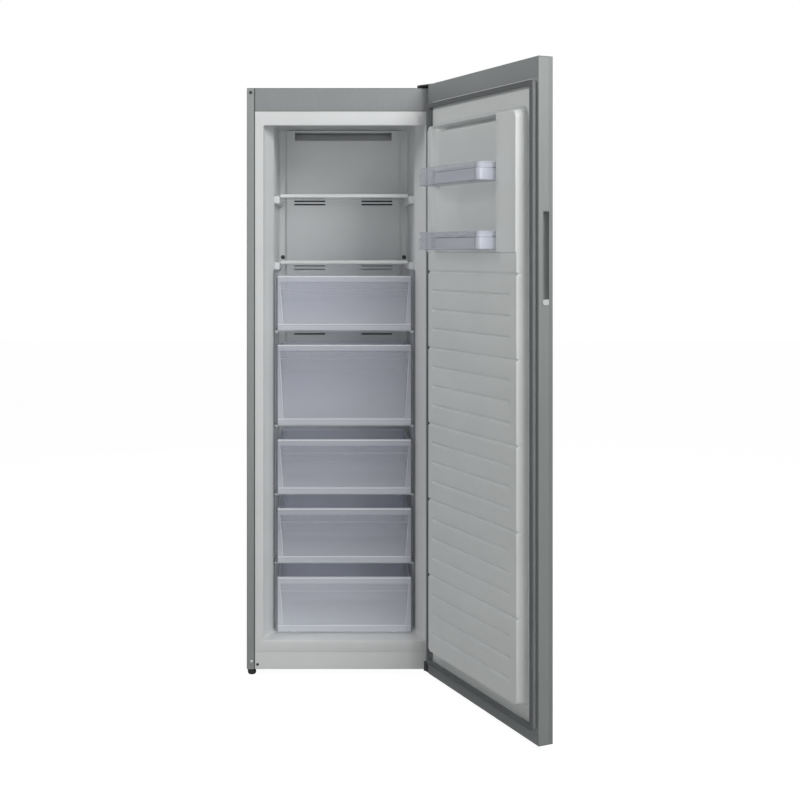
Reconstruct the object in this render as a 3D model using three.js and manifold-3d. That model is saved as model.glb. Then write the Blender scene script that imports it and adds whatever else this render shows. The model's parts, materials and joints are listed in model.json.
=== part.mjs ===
// Upright freezer in millimetres: X to the right, Y from the cabinet's front plane to its back,
// Z up from the floor. The door stands open on its right-hand hinge.
import * as THREE from "three";
import { mergeVertices } from "three/addons/utils/BufferGeometryUtils.js";
import Module from "manifold-3d";

// Cabinet shell
const WIDTH = 595;
const DEPTH = 590;
const BODY_HEIGHT = 1768;
const FOOT_HEIGHT = 19;
const SHEET = 1; // steel sheet
const GAP = 0.3; // between pieces that touch
const PAST = 1; // a cut runs past the face that it opens
const FRONT_PLATE = 2; // front frame, band and plinth
const FLANGE = 25; // steel flange beside the frame
const FRAME_SIDE = 26; // white frame beside the mouth
const FRAME_TOP = 43; // white frame above the mouth
const BAND_HEIGHT = 70;
const PLINTH_HEIGHT = 52;
const BASE_THICKNESS = 14;

// Inner room
const LINER_WALL = 2;
const SIDE_WALL = 79;
const TOP_WALL = 87;
const BACK_WALL = 70;
const FLOOR_ABOVE_BASE = 94;
const SILL_DROP = 7; // mouth's lower edge below the room's floor
const NECK_DEPTH = 24; // straight part of the mouth
const NECK_DRAFT = 2.5;
const FLARE_DEPTH = 46; // from the neck to the full room
const CHAMBER_DEPTH = 112; // evaporator chamber behind the room
const CHAMBER_SIDE = 34; // room wall to chamber wall
const CHAMBER_FLOOR_ABOVE = 207; // above the room's floor
const CHAMBER_CEILING_DROP = 10;
const MACHINE_DEPTH = 145;
const MACHINE_HEIGHT = 217; // compartment above the base frame

// Evaporator cover
const COVER_DEPTH = 10;
const COVER_WALL = 2.5;
const COVER_LAP = 6.5; // over the chamber's edge
const COVER_FOOT = 20; // below the chamber's floor
const TOP_SLOT_WIDTH = 325;
const TOP_SLOT_HEIGHT = 28;
const TOP_SLOT_DROP = 9; // below the ceiling
const VENT_INNER = 61;
const VENT_LENGTH = 104;
const VENT_HEIGHT = 5;
const VENT_STEP = 11.4;
const VENT_ROWS = 5;
const VENT_PITCH = 217.8;
const VENT_BELOW_SHELF = 9.7;

// Shelves, dividers and drawers
const GLASS = 4;
const GLASS_FRONT = 103; // front edge of a shelf's glass behind the front plane
const GLASS_SIDE_GAP = 2.5;
const GLASS_BACK_GAP = 3;
const TRIM_HEIGHT = 10.5;
const TRIM_DEPTH = 12;
const TRIM_LIP = 1; // trim above the glass
const TRIM_WALL = 3; // trim before the glass
const TRIM_SIDE_GAP = 1.5; // trim to ledge
const SHELF_LEDGE_WIDTH = 17.5;
const SHELF_LEDGE_HEIGHT = 24;
const SHELF_LEDGE_AHEAD = 5; // ledge starts before the glass
const DIVIDER_LEDGE_WIDTH = 14;
const DIVIDER_LEDGE_HEIGHT = 9;
const DIVIDER_LEDGE_AHEAD = 2;
const DIVIDER_FRONT = 60;
const RUNNER_HEIGHT = 4;
const RUNNER_WIDTH = 12;
const RUNNER_X = 156;
const DRAWER_HEIGHT = 167.1;
const TALL_EXTRA = 80;
const HAND_GAP = 45; // above a drawer's rim, to the glass over it
const DRAWER_CLEARANCE = 0.4; // over its support
const DRAWER_FRONT = 50; // front panel behind the front plane
const DRAWER_SIDE_GAP = 8.8;
const DRAWER_BACK_GAP = 5;
const DRAWER_WALL = 2.5;
const TUB_INSET = 3; // tub narrower than its front, each side
const TUB_DROP = 14; // tub's rim below the front's rim
const TUB_CORNER = 16;
const TUB_FRONT_CORNER = 4;
const TUB_HEEL_INSET = 20; // bottom strip under the front panel's foot, each side
const RAIL_DEPTH = 13;
const RAIL_HEIGHT = 20;
const RAIL_SLOPE = 4;
const RAIL_CHAMFER = 3;
const FOOT_RAIL_DEPTH = 7;
const FOOT_RAIL_HEIGHT = 9;
const LOWER_BAY = 215; // first drawer's support to the lower shelf
const UPPER_BAY = 207; // between the two shelves

// Door
const DOOR_OPEN = 113.8; // degrees from closed
const DOOR_THICKNESS = 44.5;
const DOOR_RISE = 5; // above the cabinet's top
const DOOR_LIFT = 1; // door's bottom above the cabinet's bottom
const SEAL = 13.9; // cabinet front to the door's inner plane
const EDGE_WIDTH = 27.7; // inner flange beside the liner
const TOP_CAP_HEIGHT = 54.7;
const BOTTOM_CAP_HEIGHT = 27.7;
const CAP_PLATE = 2.5;
const EDGE_WALL = 1.5;
const SKIN_RETURN = 13;
const SKIN_CORNER = 4;
const GASKET_WIDTH = 14.5;
const GASKET_HEIGHT = 12.9;
const GASKET_FROM_SIDE = 10.5; // door's side edges to the lip
const GASKET_FROM_BOTTOM = 36;
const GASKET_FROM_TOP = 60;
const GASKET_LIP = 5; // magnet strip's thickness
const GASKET_UNDERCUT = 3;
const PLATEAU_INSET = 49; // door edge to the foot of the plateau
const PLATEAU_DRAFT = 8;
const PLATEAU_HEIGHT = 31;
const FRAME_RISE = 3; // rack frame above the plateau
const PLATEAU_BOTTOM_CLEAR = 10; // above the mouth's lower edge
const FRAME_TOP_CLEAR = 3; // below the mouth's upper edge
const RACK_ZONE_HEIGHT = 366;
const DIKE = 18; // rim above the rack zone
const FREE_PILLAR = 100; // door edge to the rack zone
const HINGE_PILLAR = 38;
const GROOVE_PITCH = 56;
const GROOVE_WIDTH = 3;
const GROOVE_DEPTH = 1.2;
const GROOVE_INSET = 30;
const LONG_GROOVE_INSET = 2;
const LONG_EVERY = 4;
const RACK_HEIGHT = 51;
const RACK_PITCH = 185;
const RACK_DEPTH = 89;
const RACK_WALL = 2.5;
const RACK_CORNER = 14;
const RACK_BACK_CORNER = 3;
const RACK_SIDE_GAP = 2.5;
const RACK_BACK_GAP = 0.8;
const RACK_DROP = 173; // upper rack's bottom below the recess's top
const RACK_PEG = 12;
const PEG_INSET = 6;
const PEG_HEIGHT = 5;
const GRIP_HEIGHT = 244;
const GRIP_BOTTOM = 1150;
const GRIP_DEPTH = 25;
const GRIP_WIDTH = 24;
const GRIP_INSET = 12; // inner plane to the pocket
const GRIP_WALL = 2;

// Hinge, feet and rollers
const PIN_FROM_SIDE = 14.8;
const PIN_AHEAD = 27; // in front of the door's inner plane
const PIN_RADIUS = 4;
const PIN_REACH = 25; // into the door
const PIN_HEAD_RADIUS = 7;
const PIN_HEAD = 3;
const RUNNING = 0.3; // round a pin, axle or shaft
const BUSH_WALL = 3.7;
const BUSH_FLANGE = 3;
const BUSH_END = 2; // beyond the pin's tip
const PLATE = 3; // upper hinge plate
const LOWER_PLATE = 4;
const PLATE_TIP = 2; // centre of the plate's round tip before the pin
const PLATE_SHOULDER = 4; // full width behind the front plane
const PLATE_BACK = 66;
const PLATE_WIDTH = 76;
const LOWER_PLATE_WIDTH = 56;
const RAMP_FRONT = -1; // upper plate's step up to the door
const RAMP = 5;
const LUG_HEIGHT = 25;
const LUG_THICKNESS = 2.3;
const LUG_WIDTH = 50;
const LUG_FROM_SIDE = 6;
const FOOT_RADIUS = 13.25;
const FOOT_BEVEL = { out: 1, up: 2 };
const FOOT_SHOULDER = 3;
const FOOT_PLATE_GAP = 1; // pad to the lower hinge plate
const FOOT_FROM_SIDE = 15;
const FOOT_FROM_FRONT = 18;
const STEM_RADIUS = 4;
const STEM_GAP = 1; // round the stem in the lower hinge plate
const DECK_SKIN = 2; // deck above the stem's bore
const ROLLER_RADIUS = 12;
const ROLLER_WIDTH = 16;
const ROLLER_X = 248;
const ROLLER_FROM_BACK = 45;
const AXLE_RADIUS = 3;
const AXLE_END = 2; // beyond its ears
const EAR = 4;
const EAR_REACH = 10;
const ROLLER_SIDE_GAP = 0.5;
const ROLLER_WELL_GAP = 2;

// Machine compartment
const COMPRESSOR_RADIUS = 62;
const COMPRESSOR_HEIGHT = 158;
const COMPRESSOR_OVAL = 1.35;
const COMPRESSOR_X = 95;
const COMPRESSOR_BACKSET = 3; // behind the middle of the compartment
const SHELL_FOOT_CURVE = 16;
const SHELL_DOME = 30;
const SEAM = { height: 8, out: 1.5, above: 8 }; // welded rim, above the shell's middle
const BASE_PLATE = { thickness: 3, beside: 16, inside: 12, mountInset: 10 };
const MOUNT_HEIGHT = 8;
const MOUNT_RADIUS = 9;
const TRAY_HEIGHT = 28;
const TRAY_WALL = 2;
const TRAY_OVERLAP = 2; // wider than the compressor, front and back
const PIPE_RADIUS = 2.5;
const CONDENSER_RUNS = 8;
const CONDENSER_PITCH = 22;
const CONDENSER_FROM_SIDE = 50;
const CONDENSER_FROM_COMPRESSOR = 36;
const INLET = { fromSide: 40, width: 50, depth: 30, height: 30 };
const SOCKET = { fromSide: 12, width: 26, drop: 5, height: 21, depth: 18 };
const BLADE_PIN = { pitch: 7, width: 2, height: 4, length: 16, drop: 17, earthRise: 5 };

// Evaporator chamber fittings
const COIL_SIDE_GAP = 24.5; // chamber wall to the fins
const COIL_ABOVE_FLOOR = 100;
const COIL_HEIGHT = 320;
const COIL_DEPTH = 70;
const COIL_ROWS = 4;
const COIL_COLUMNS = 2;
const COIL_TUBE_RADIUS = 4;
const COIL_OVERHANG = 8; // tube bends beyond the fins
const FIN = 1.2;
const FINS = 11;
const HEATER_RADIUS = 4;
const HEATER_PITCH = 30;
const HEATER_INSET = 20;
const DRAIN_RADIUS = 8;
const DRAIN_BORE = 6.5;
const DRAIN_ABOVE_TRAY = 8;
const FAN_RADIUS = 56;
const FAN_BELOW_CEILING = 90;
const FAN_FROM_BACK = 75;
const HUB_RADIUS = 17;
const HUB_LENGTH = 24;
const SHAFT_RADIUS = 2;
const SHAFT_TIP = 3;
const BLADES = 5;
const BLADE = { root: 14, thickness: 2, width: 26, twist: 0.6 };
const MOTOR_RADIUS = 26;
const MOTOR_LENGTH = 40;
const MOTOR_BOSS = { radius: 9, length: 4 };
const MODULE_SIZE = { x: 120, y: 28, z: 36 };
const MODULE_GAP = 1;
const MODULE_ABOVE_BAND = 12;
const MODULE_LID = { inset: 4, height: 2 };

// Colours
const STEEL = { color: 0x9a9d9b, roughness: 0.42, metalness: 0.6 };
const BAND_GREY = { color: 0x94979a, roughness: 0.45, metalness: 0.3 };
const WHITE = { color: 0xdfe1e0, roughness: 0.45, metalness: 0 };
const LINER_WHITE = { color: 0xcfd2d3, roughness: 0.4, metalness: 0 };
const FOAM = { color: 0xe2d7a6, roughness: 0.95, metalness: 0 };
const BLACK = { color: 0x1b1c1e, roughness: 0.6, metalness: 0 };
const GLASS_CLEAR = { color: 0xdcebe8, roughness: 0.05, metalness: 0, transparent: true, opacity: 0.35 };
const DRAWER_BLUE = { color: 0xa9b0bd, roughness: 0.3, metalness: 0, transparent: true, opacity: 0.75 };
const RUBBER_GREY = { color: 0x55585a, roughness: 0.8, metalness: 0 };
const ALLOY = { color: 0xc4c8ca, roughness: 0.35, metalness: 0.9 };
const ZINC = { color: 0xa7a9a6, roughness: 0.5, metalness: 0.8 };

// Places worked out from the sizes above
const half = WIDTH / 2;
const baseZ = FOOT_HEIGHT;
const topZ = baseZ + BODY_HEIGHT;
const deckZ = baseZ + BASE_THICKNESS; // top of the base frame
const bandZ = topZ - SHEET - BAND_HEIGHT;
const plinthZ = baseZ + PLINTH_HEIGHT;
const frameHalf = half - FLANGE;
const mouth = {
  half: frameHalf - FRAME_SIDE,
  top: bandZ - FRAME_TOP,
  bottom: baseZ + FLOOR_ABOVE_BASE - SILL_DROP,
};
const room = {
  half: half - SIDE_WALL,
  floor: baseZ + FLOOR_ABOVE_BASE,
  ceiling: topZ - TOP_WALL,
  front: NECK_DEPTH + FLARE_DEPTH,
  back: DEPTH - BACK_WALL - CHAMBER_DEPTH,
};
const chamber = {
  half: room.half - CHAMBER_SIDE,
  floor: room.floor + CHAMBER_FLOOR_ABOVE,
  top: room.ceiling - CHAMBER_CEILING_DROP,
  back: DEPTH - BACK_WALL,
};
const machine = { front: DEPTH - MACHINE_DEPTH, top: deckZ + MACHINE_HEIGHT };
const coverFront = room.back - COVER_DEPTH;
const drawerPitch = DRAWER_HEIGHT + HAND_GAP + DRAWER_CLEARANCE;
const drawerHalf = room.half - DRAWER_SIDE_GAP;

// Top of what each drawer stands on, from the bottom drawer up; the fourth one is the tall one.
const drawerExtra = [0, 0, 0, TALL_EXTRA, 0];
const drawerSeats = [room.floor + RUNNER_HEIGHT];
for (const extra of drawerExtra.slice(0, -1)) {
  drawerSeats.push(drawerSeats.at(-1) + drawerPitch + extra);
}
const lowerShelfZ = drawerSeats.at(-1) + LOWER_BAY;
const upperShelfZ = lowerShelfZ + UPPER_BAY;

// Door, in u from the free edge, v inwards from the inner plane, and z
const doorBottom = baseZ + DOOR_LIFT;
const doorTop = topZ + DOOR_RISE;
const capBottomTop = doorBottom + BOTTOM_CAP_HEIGHT;
const capTopBottom = doorTop - TOP_CAP_HEIGHT;
const plateauBottom = mouth.bottom + PLATEAU_BOTTOM_CLEAR;
const rackZone = {
  u0: FREE_PILLAR + PLATEAU_INSET,
  u1: WIDTH - PLATEAU_INSET - HINGE_PILLAR,
  z0: mouth.top - FRAME_TOP_CLEAR - DIKE - RACK_ZONE_HEIGHT,
  z1: mouth.top - FRAME_TOP_CLEAR - DIKE,
};
const pin = { x: half - PIN_FROM_SIDE, y: -(SEAL + PIN_AHEAD) };
const pinU = WIDTH - PIN_FROM_SIDE;

const wasm = await Module();
wasm.setup();

// Booleans of closed meshes

function solid(geometry) {
  const bare = geometry.clone();
  bare.deleteAttribute("normal");
  bare.deleteAttribute("uv");
  const merged = mergeVertices(bare, 1e-4);
  const triVerts = new Uint32Array(merged.index.array);
  const vertProperties = merged.attributes.position.array;
  return new wasm.Manifold(new wasm.Mesh({ numProp: 3, vertProperties, triVerts }));
}

function geometryOf(body) {
  const made = body.getMesh();
  const geometry = new THREE.BufferGeometry();
  geometry.setAttribute("position", new THREE.BufferAttribute(made.vertProperties, 3));
  geometry.setIndex(new THREE.BufferAttribute(made.triVerts, 1));
  const flat = geometry.toNonIndexed();
  flat.computeVertexNormals();
  return flat;
}

function join(first, ...others) {
  return geometryOf(others.reduce((body, other) => body.add(solid(other)), solid(first)));
}

function cut(base, ...tools) {
  return geometryOf(tools.reduce((body, tool) => body.subtract(solid(tool)), solid(base)));
}

function common(a, b) {
  return geometryOf(solid(a).intersect(solid(b)));
}

// Simple closed shapes

function box(x0, x1, y0, y1, z0, z1) {
  const geometry = new THREE.BoxGeometry(x1 - x0, y1 - y0, z1 - z0);
  return geometry.translate((x0 + x1) / 2, (y0 + y1) / 2, (z0 + z1) / 2);
}

// A block along Y between two rectangles { x0, x1, z0, z1, y }.
function taper(front, back) {
  const geometry = new THREE.BoxGeometry(1, 1, 1);
  const place = geometry.attributes.position;
  for (let i = 0; i < place.count; i++) {
    const r = place.getY(i) < 0 ? front : back;
    const x = place.getX(i) < 0 ? r.x0 : r.x1;
    const z = place.getZ(i) < 0 ? r.z0 : r.z1;
    place.setXYZ(i, x, r.y, z);
  }
  return geometry;
}

function outline(points) {
  return new THREE.Shape(points.map(([a, b]) => new THREE.Vector2(a, b)));
}

// A rectangle with round corners: one radius for the low-y corners, one for the high-y corners.
function roundedOutline(x0, x1, y0, y1, lowRadius, highRadius) {
  const shape = new THREE.Shape();
  const quarter = Math.PI / 2;
  shape.moveTo(x0 + lowRadius, y0);
  shape.lineTo(x1 - lowRadius, y0);
  shape.absarc(x1 - lowRadius, y0 + lowRadius, lowRadius, -quarter, 0);
  shape.lineTo(x1, y1 - highRadius);
  shape.absarc(x1 - highRadius, y1 - highRadius, highRadius, 0, quarter);
  shape.lineTo(x0 + highRadius, y1);
  shape.absarc(x0 + highRadius, y1 - highRadius, highRadius, quarter, 2 * quarter);
  shape.lineTo(x0, y0 + lowRadius);
  shape.absarc(x0 + lowRadius, y0 + lowRadius, lowRadius, 2 * quarter, 3 * quarter);
  return shape;
}

const CURVE_STEPS = 4;

// An outline in x and y carried from z0 to z1.
function prismZ(shape, z0, z1) {
  const options = { depth: z1 - z0, bevelEnabled: false, curveSegments: CURVE_STEPS };
  return new THREE.ExtrudeGeometry(shape, options).translate(0, 0, z0);
}

// An outline in y and z carried from x0 to x1.
function prismX(shape, x0, x1) {
  const turn = new THREE.Matrix4().makeBasis(
    new THREE.Vector3(0, 1, 0),
    new THREE.Vector3(0, 0, 1),
    new THREE.Vector3(1, 0, 0),
  );
  return prismZ(shape, x0, x1).applyMatrix4(turn);
}

// A round bar along "x", "y" or "z", centred on the other two coordinates of at.
function rod(radius, axis, from, to, at, sides = 24) {
  const geometry = new THREE.CylinderGeometry(radius, radius, to - from, sides);
  geometry.translate(0, (from + to) / 2, 0);
  if (axis === "x") geometry.rotateZ(-Math.PI / 2);
  if (axis === "z") geometry.rotateX(Math.PI / 2);
  return geometry.translate(at.x ?? 0, at.y ?? 0, at.z ?? 0);
}

// A turned shape about Z from (radius, z) points that start and end on the axis or close on themselves.
function turned(points, sides = 24) {
  const profile = points.map(([r, z]) => new THREE.Vector2(r, z));
  return new THREE.LatheGeometry(profile, sides).rotateX(Math.PI / 2);
}

// A path through given points, with a ring of a tube at each.
class Route extends THREE.Curve {
  constructor(points) {
    super();
    this.points = points;
  }
  getPoint(t) {
    const along = t * (this.points.length - 1);
    const i = Math.min(Math.floor(along), this.points.length - 2);
    return this.points[i].clone().lerp(this.points[i + 1], along - i);
  }
  getPointAt(t) {
    return this.getPoint(t);
  }
  getTangentAt(t) {
    return this.getTangent(t);
  }
}

const TUBE_SIDES = 8;

function tube(points, radius) {
  const section = new THREE.Shape().absarc(0, 0, radius, 0, 2 * Math.PI);
  const route = new Route(points);
  const options = { steps: points.length - 1, extrudePath: route, curveSegments: TUBE_SIDES };
  return new THREE.ExtrudeGeometry(section, options);
}

// Runs along X from x0 to x1 at depth y, stacked from z0 upwards and joined by half-circle bends.
function serpentine(x0, x1, y, z0, pitch, runs) {
  const points = [];
  const bendSteps = 5;
  for (let run = 0; run < runs; run++) {
    const z = z0 + run * pitch;
    const forward = run % 2 === 0;
    points.push(new THREE.Vector3(forward ? x0 : x1, y, z));
    points.push(new THREE.Vector3(forward ? x1 : x0, y, z));
    if (run === runs - 1) break;
    for (let step = 1; step < bendSteps; step++) {
      const angle = (Math.PI * step) / bendSteps;
      const out = (pitch / 2) * Math.sin(angle) * (forward ? 1 : -1);
      const rise = (pitch / 2) * (1 - Math.cos(angle));
      points.push(new THREE.Vector3((forward ? x1 : x0) + out, y, z + rise));
    }
  }
  return points;
}

const freezer = new THREE.Group();
const cabinet = new THREE.Group();
freezer.add(cabinet);

function add(group, name, geometry, finish) {
  const mesh = new THREE.Mesh(geometry, new THREE.MeshStandardMaterial(finish));
  mesh.name = name;
  group.add(mesh);
}

// Cabinet shell

// Steel side sheet with its front flange folded inwards; side is -1 for left and 1 for right.
function sidePanel(side) {
  const points = [
    [half, 0],
    [half, DEPTH - SHEET - GAP],
    [half - SHEET, DEPTH - SHEET - GAP],
    [half - SHEET, SHEET],
    [frameHalf + GAP, SHEET],
    [frameHalf + GAP, 0],
  ];
  const shape = outline(points.map(([x, y]) => [x * side, y]));
  return prismZ(shape, baseZ, topZ - SHEET - GAP);
}

function topCover() {
  const sheet = box(-half, half, 0, DEPTH, topZ - SHEET, topZ);
  const band = box(-frameHalf, frameHalf, 0, FRONT_PLATE, bandZ + GAP, topZ - SHEET / 2);
  return join(sheet, band);
}

// Back sheet, bent in over the machine compartment and down in front of it.
function rearPanel() {
  const inner = half - SHEET - GAP;
  const roofZ = machine.top - GAP;
  const back = box(-half, half, DEPTH - SHEET, DEPTH, roofZ - SHEET, topZ - SHEET - GAP);
  const wallY = machine.front + GAP;
  const roof = box(-inner, inner, wallY, DEPTH - SHEET / 2, roofZ - SHEET, roofZ);
  const wall = box(-inner, inner, wallY, wallY + SHEET, deckZ + GAP, roofZ);
  return cut(join(back, roof, wall), drainHole());
}

function drainHole() {
  const at = { x: COMPRESSOR_X, y: drainY() };
  return rod(DRAIN_RADIUS + GAP, "z", machine.top - 3 * SHEET, chamber.floor + LINER_WALL, at);
}

function drainY() {
  return (machine.front + SHEET + chamber.back) / 2;
}

function baseFrame() {
  const inner = half - SHEET - GAP;
  const slab = box(-inner, inner, SHEET + GAP + FRONT_PLATE, DEPTH - SHEET, baseZ, deckZ);
  const mounts = compressorMounts().map(({ x, y }) =>
    rod(MOUNT_RADIUS, "z", deckZ - GAP, deckZ + MOUNT_HEIGHT, { x, y }, 16),
  );
  const axleY = DEPTH - ROLLER_FROM_BACK;
  const earFromMiddle = ROLLER_WIDTH / 2 + ROLLER_SIDE_GAP + EAR / 2;
  const earBottom = ROLLER_RADIUS - 2 * AXLE_RADIUS;
  const ears = [];
  const holes = [];
  for (const side of [-1, 1]) {
    const x = side * ROLLER_X;
    for (const inward of [-1, 1]) {
      const earX = x + inward * earFromMiddle;
      const [y0, y1] = [axleY - EAR_REACH, axleY + EAR_REACH];
      ears.push(box(earX - EAR / 2, earX + EAR / 2, y0, y1, earBottom, baseZ + GAP));
    }
    const w = ROLLER_WIDTH / 2 + GAP;
    const r = ROLLER_RADIUS + ROLLER_WELL_GAP;
    holes.push(box(x - w, x + w, axleY - r, axleY + r, baseZ - PAST, ROLLER_RADIUS + r));
    holes.push(rod(STEM_RADIUS + RUNNING, "z", baseZ - PAST, deckZ - DECK_SKIN, footPlace(side)));
  }
  const span = ROLLER_X + ROLLER_WIDTH;
  holes.push(rod(AXLE_RADIUS + RUNNING, "x", -span, span, { y: axleY, z: ROLLER_RADIUS }));
  return cut(join(slab, ...mounts, ...ears), ...holes);
}

function plinth() {
  return box(-frameHalf, frameHalf, 0, FRONT_PLATE, baseZ, plinthZ - GAP);
}

// The hollow of mouth, neck, flare, room and chamber, grown by a wall thickness.
function hollow(grow, front) {
  const rect = (h, bottom, top, y) => ({
    x0: -(h + grow),
    x1: h + grow,
    z0: bottom - grow,
    z1: top + grow,
    y,
  });
  const opening = rect(mouth.half, mouth.bottom, mouth.top, front);
  const neckHalf = mouth.half - NECK_DRAFT;
  const neckTop = mouth.top + NECK_DRAFT;
  const neckBottom = mouth.bottom + NECK_DRAFT;
  const neck = rect(neckHalf, neckBottom, neckTop, NECK_DEPTH);
  const full = rect(room.half, room.floor, room.ceiling, room.front);
  const back = rect(room.half, room.floor, room.ceiling, room.back + grow);
  const chamberFront = rect(chamber.half, chamber.floor, chamber.top, room.back - PAST);
  const chamberBack = { ...chamberFront, y: chamber.back + grow };
  return join(taper(opening, neck), taper(neck, full), taper(full, back), taper(chamberFront, chamberBack));
}

// Ledge on both side walls, from front to back of the room, with its top at z.
function ledges(width, height, z, front) {
  const into = LINER_WALL / 2;
  const inner = room.half - width;
  const back = coverFront - GLASS_BACK_GAP;
  return [-1, 1].map((side) => {
    const x = [side * inner, side * (room.half + into)].sort((a, b) => a - b);
    return box(x[0], x[1], front, back, z - height, z);
  });
}

function innerLiner() {
  const frame = box(-frameHalf, frameHalf, 0, FRONT_PLATE, plinthZ, bandZ);
  const shell = cut(join(frame, hollow(LINER_WALL, 0)), hollow(0, -PAST));
  const shelfFront = GLASS_FRONT - SHELF_LEDGE_AHEAD;
  const shelfLedges = [upperShelfZ, lowerShelfZ].flatMap((z) =>
    ledges(SHELF_LEDGE_WIDTH, SHELF_LEDGE_HEIGHT, z - TRIM_LIP - GLASS - GAP, shelfFront),
  );
  const dividerFront = DIVIDER_FRONT - DIVIDER_LEDGE_AHEAD;
  const dividerLedges = drawerSeats.slice(1).flatMap((z) =>
    ledges(DIVIDER_LEDGE_WIDTH, DIVIDER_LEDGE_HEIGHT, z - GLASS - GAP, dividerFront),
  );
  const runners = [-1, 1].map((side) => {
    const x = side * RUNNER_X;
    const w = RUNNER_WIDTH / 2;
    const z = room.floor;
    return box(x - w, x + w, DIVIDER_FRONT, coverFront - GLASS_BACK_GAP, z - PAST, z + RUNNER_HEIGHT);
  });
  const full = join(shell, ...shelfLedges, ...dividerLedges, ...runners);
  return cut(full, drainHole());
}

// Foam fills what lies between the sheets and the liner; it is made in three pieces, split
// beside the room.
function foam(x0, x1) {
  const inner = half - SHEET - GAP;
  const block = box(
    Math.max(x0, -inner),
    Math.min(x1, inner),
    FRONT_PLATE + GAP,
    DEPTH - SHEET - GAP,
    deckZ + GAP,
    topZ - SHEET - GAP,
  );
  const compartment = box(-half, half, machine.front, DEPTH + PAST, 0, machine.top);
  const { z0, y0 } = modulePlace();
  const moduleHalf = MODULE_SIZE.x / 2 + MODULE_GAP;
  const pocketBack = y0 + MODULE_SIZE.y + MODULE_GAP;
  const pocket = box(-moduleHalf, moduleHalf, 0, pocketBack, z0 - GAP, topZ);
  return cut(block, hollow(LINER_WALL + GAP, -PAST), compartment, pocket, drainHole());
}

function modulePlace() {
  return { z0: bandZ + MODULE_ABOVE_BAND, y0: FRONT_PLATE + MODULE_GAP };
}

function controlModule() {
  const { z0, y0 } = modulePlace();
  const { x, y, z } = MODULE_SIZE;
  const { inset, height } = MODULE_LID;
  const z1 = z0 + z;
  const body = box(-x / 2, x / 2, y0, y0 + y, z0, z1);
  const lid = box(inset - x / 2, x / 2 - inset, y0 + inset, y0 + y - inset, z1 - PAST, z1 + height);
  return join(body, lid);
}

// Evaporator chamber

function evaporatorCover() {
  const h = chamber.half + COVER_LAP;
  const w = COVER_WALL;
  const z0 = chamber.floor - COVER_FOOT;
  const z1 = chamber.top + COVER_LAP;
  const back = room.back - GAP;
  const outer = box(-h, h, coverFront, back, z0, z1);
  const inner = box(-h + w, h - w, coverFront + w, back + PAST, z0 + w, z1 - w);
  const through = [coverFront - PAST, coverFront + w + PAST];
  const slotTop = room.ceiling - TOP_SLOT_DROP;
  const slotHalf = TOP_SLOT_WIDTH / 2;
  const slots = [box(-slotHalf, slotHalf, ...through, slotTop - TOP_SLOT_HEIGHT, slotTop)];
  for (let row = 0; row < VENT_ROWS; row++) {
    for (const step of [0, 1]) {
      const z = upperShelfZ - VENT_BELOW_SHELF - row * VENT_PITCH - step * VENT_STEP;
      const low = z - VENT_HEIGHT / 2;
      const high = z + VENT_HEIGHT / 2;
      slots.push(box(VENT_INNER, VENT_INNER + VENT_LENGTH, ...through, low, high));
      slots.push(box(-VENT_INNER - VENT_LENGTH, -VENT_INNER, ...through, low, high));
    }
  }
  return cut(outer, inner, ...slots);
}

const coil = {
  half: chamber.half - COIL_SIDE_GAP,
  z0: chamber.floor + COIL_ABOVE_FLOOR,
  back: chamber.back - GAP,
};

// Upright fins on rows of tubes that run through them.
function evaporator() {
  const fins = [];
  for (let i = 0; i < FINS; i++) {
    const x = -coil.half + (2 * coil.half * i) / (FINS - 1);
    const front = coil.back - COIL_DEPTH;
    fins.push(box(x - FIN / 2, x + FIN / 2, front, coil.back, coil.z0, coil.z0 + COIL_HEIGHT));
  }
  const reach = coil.half + COIL_OVERHANG;
  const tubes = [];
  for (let row = 0; row < COIL_ROWS; row++) {
    for (let column = 0; column < COIL_COLUMNS; column++) {
      const y = coil.back - (COIL_DEPTH * (column + 0.5)) / COIL_COLUMNS;
      const z = coil.z0 + (COIL_HEIGHT * (row + 0.5)) / COIL_ROWS;
      tubes.push(rod(COIL_TUBE_RADIUS, "x", -reach, reach, { y, z }, 8));
    }
  }
  return join(...fins, ...tubes);
}

function defrostHeater() {
  const y = coil.back - COIL_DEPTH / 2;
  const z0 = coil.z0 - GAP - HEATER_RADIUS - HEATER_PITCH;
  const reach = coil.half - HEATER_INSET;
  return tube(serpentine(-reach, reach, y, z0, HEATER_PITCH, 2), HEATER_RADIUS);
}

const fan = { y0: chamber.back - FAN_FROM_BACK, z: chamber.top - FAN_BELOW_CEILING };

function fanMotor() {
  const at = { z: fan.z };
  const back = chamber.back - GAP;
  const front = back - MOTOR_LENGTH;
  const body = rod(MOTOR_RADIUS, "y", front, back, at);
  const boss = rod(MOTOR_BOSS.radius, "y", front - MOTOR_BOSS.length, front + PAST, at);
  const shaft = rod(SHAFT_RADIUS, "y", fan.y0 - SHAFT_TIP, front, at, 16);
  return join(body, boss, shaft);
}

function fanImpeller() {
  const at = { z: fan.z };
  const y1 = fan.y0 + HUB_LENGTH;
  const hub = rod(HUB_RADIUS, "y", fan.y0, y1, at);
  const blades = [];
  for (let i = 0; i < BLADES; i++) {
    const blade = new THREE.BoxGeometry(FAN_RADIUS - BLADE.root, BLADE.thickness, BLADE.width);
    blade.rotateX(BLADE.twist);
    blade.translate((FAN_RADIUS + BLADE.root) / 2, (fan.y0 + y1) / 2, 0);
    blade.rotateY((2 * Math.PI * i) / BLADES);
    blades.push(blade.translate(0, 0, fan.z));
  }
  const bore = rod(SHAFT_RADIUS + RUNNING, "y", fan.y0 - PAST, y1 + PAST, at, 16);
  return cut(join(hub, ...blades), bore);
}

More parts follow.
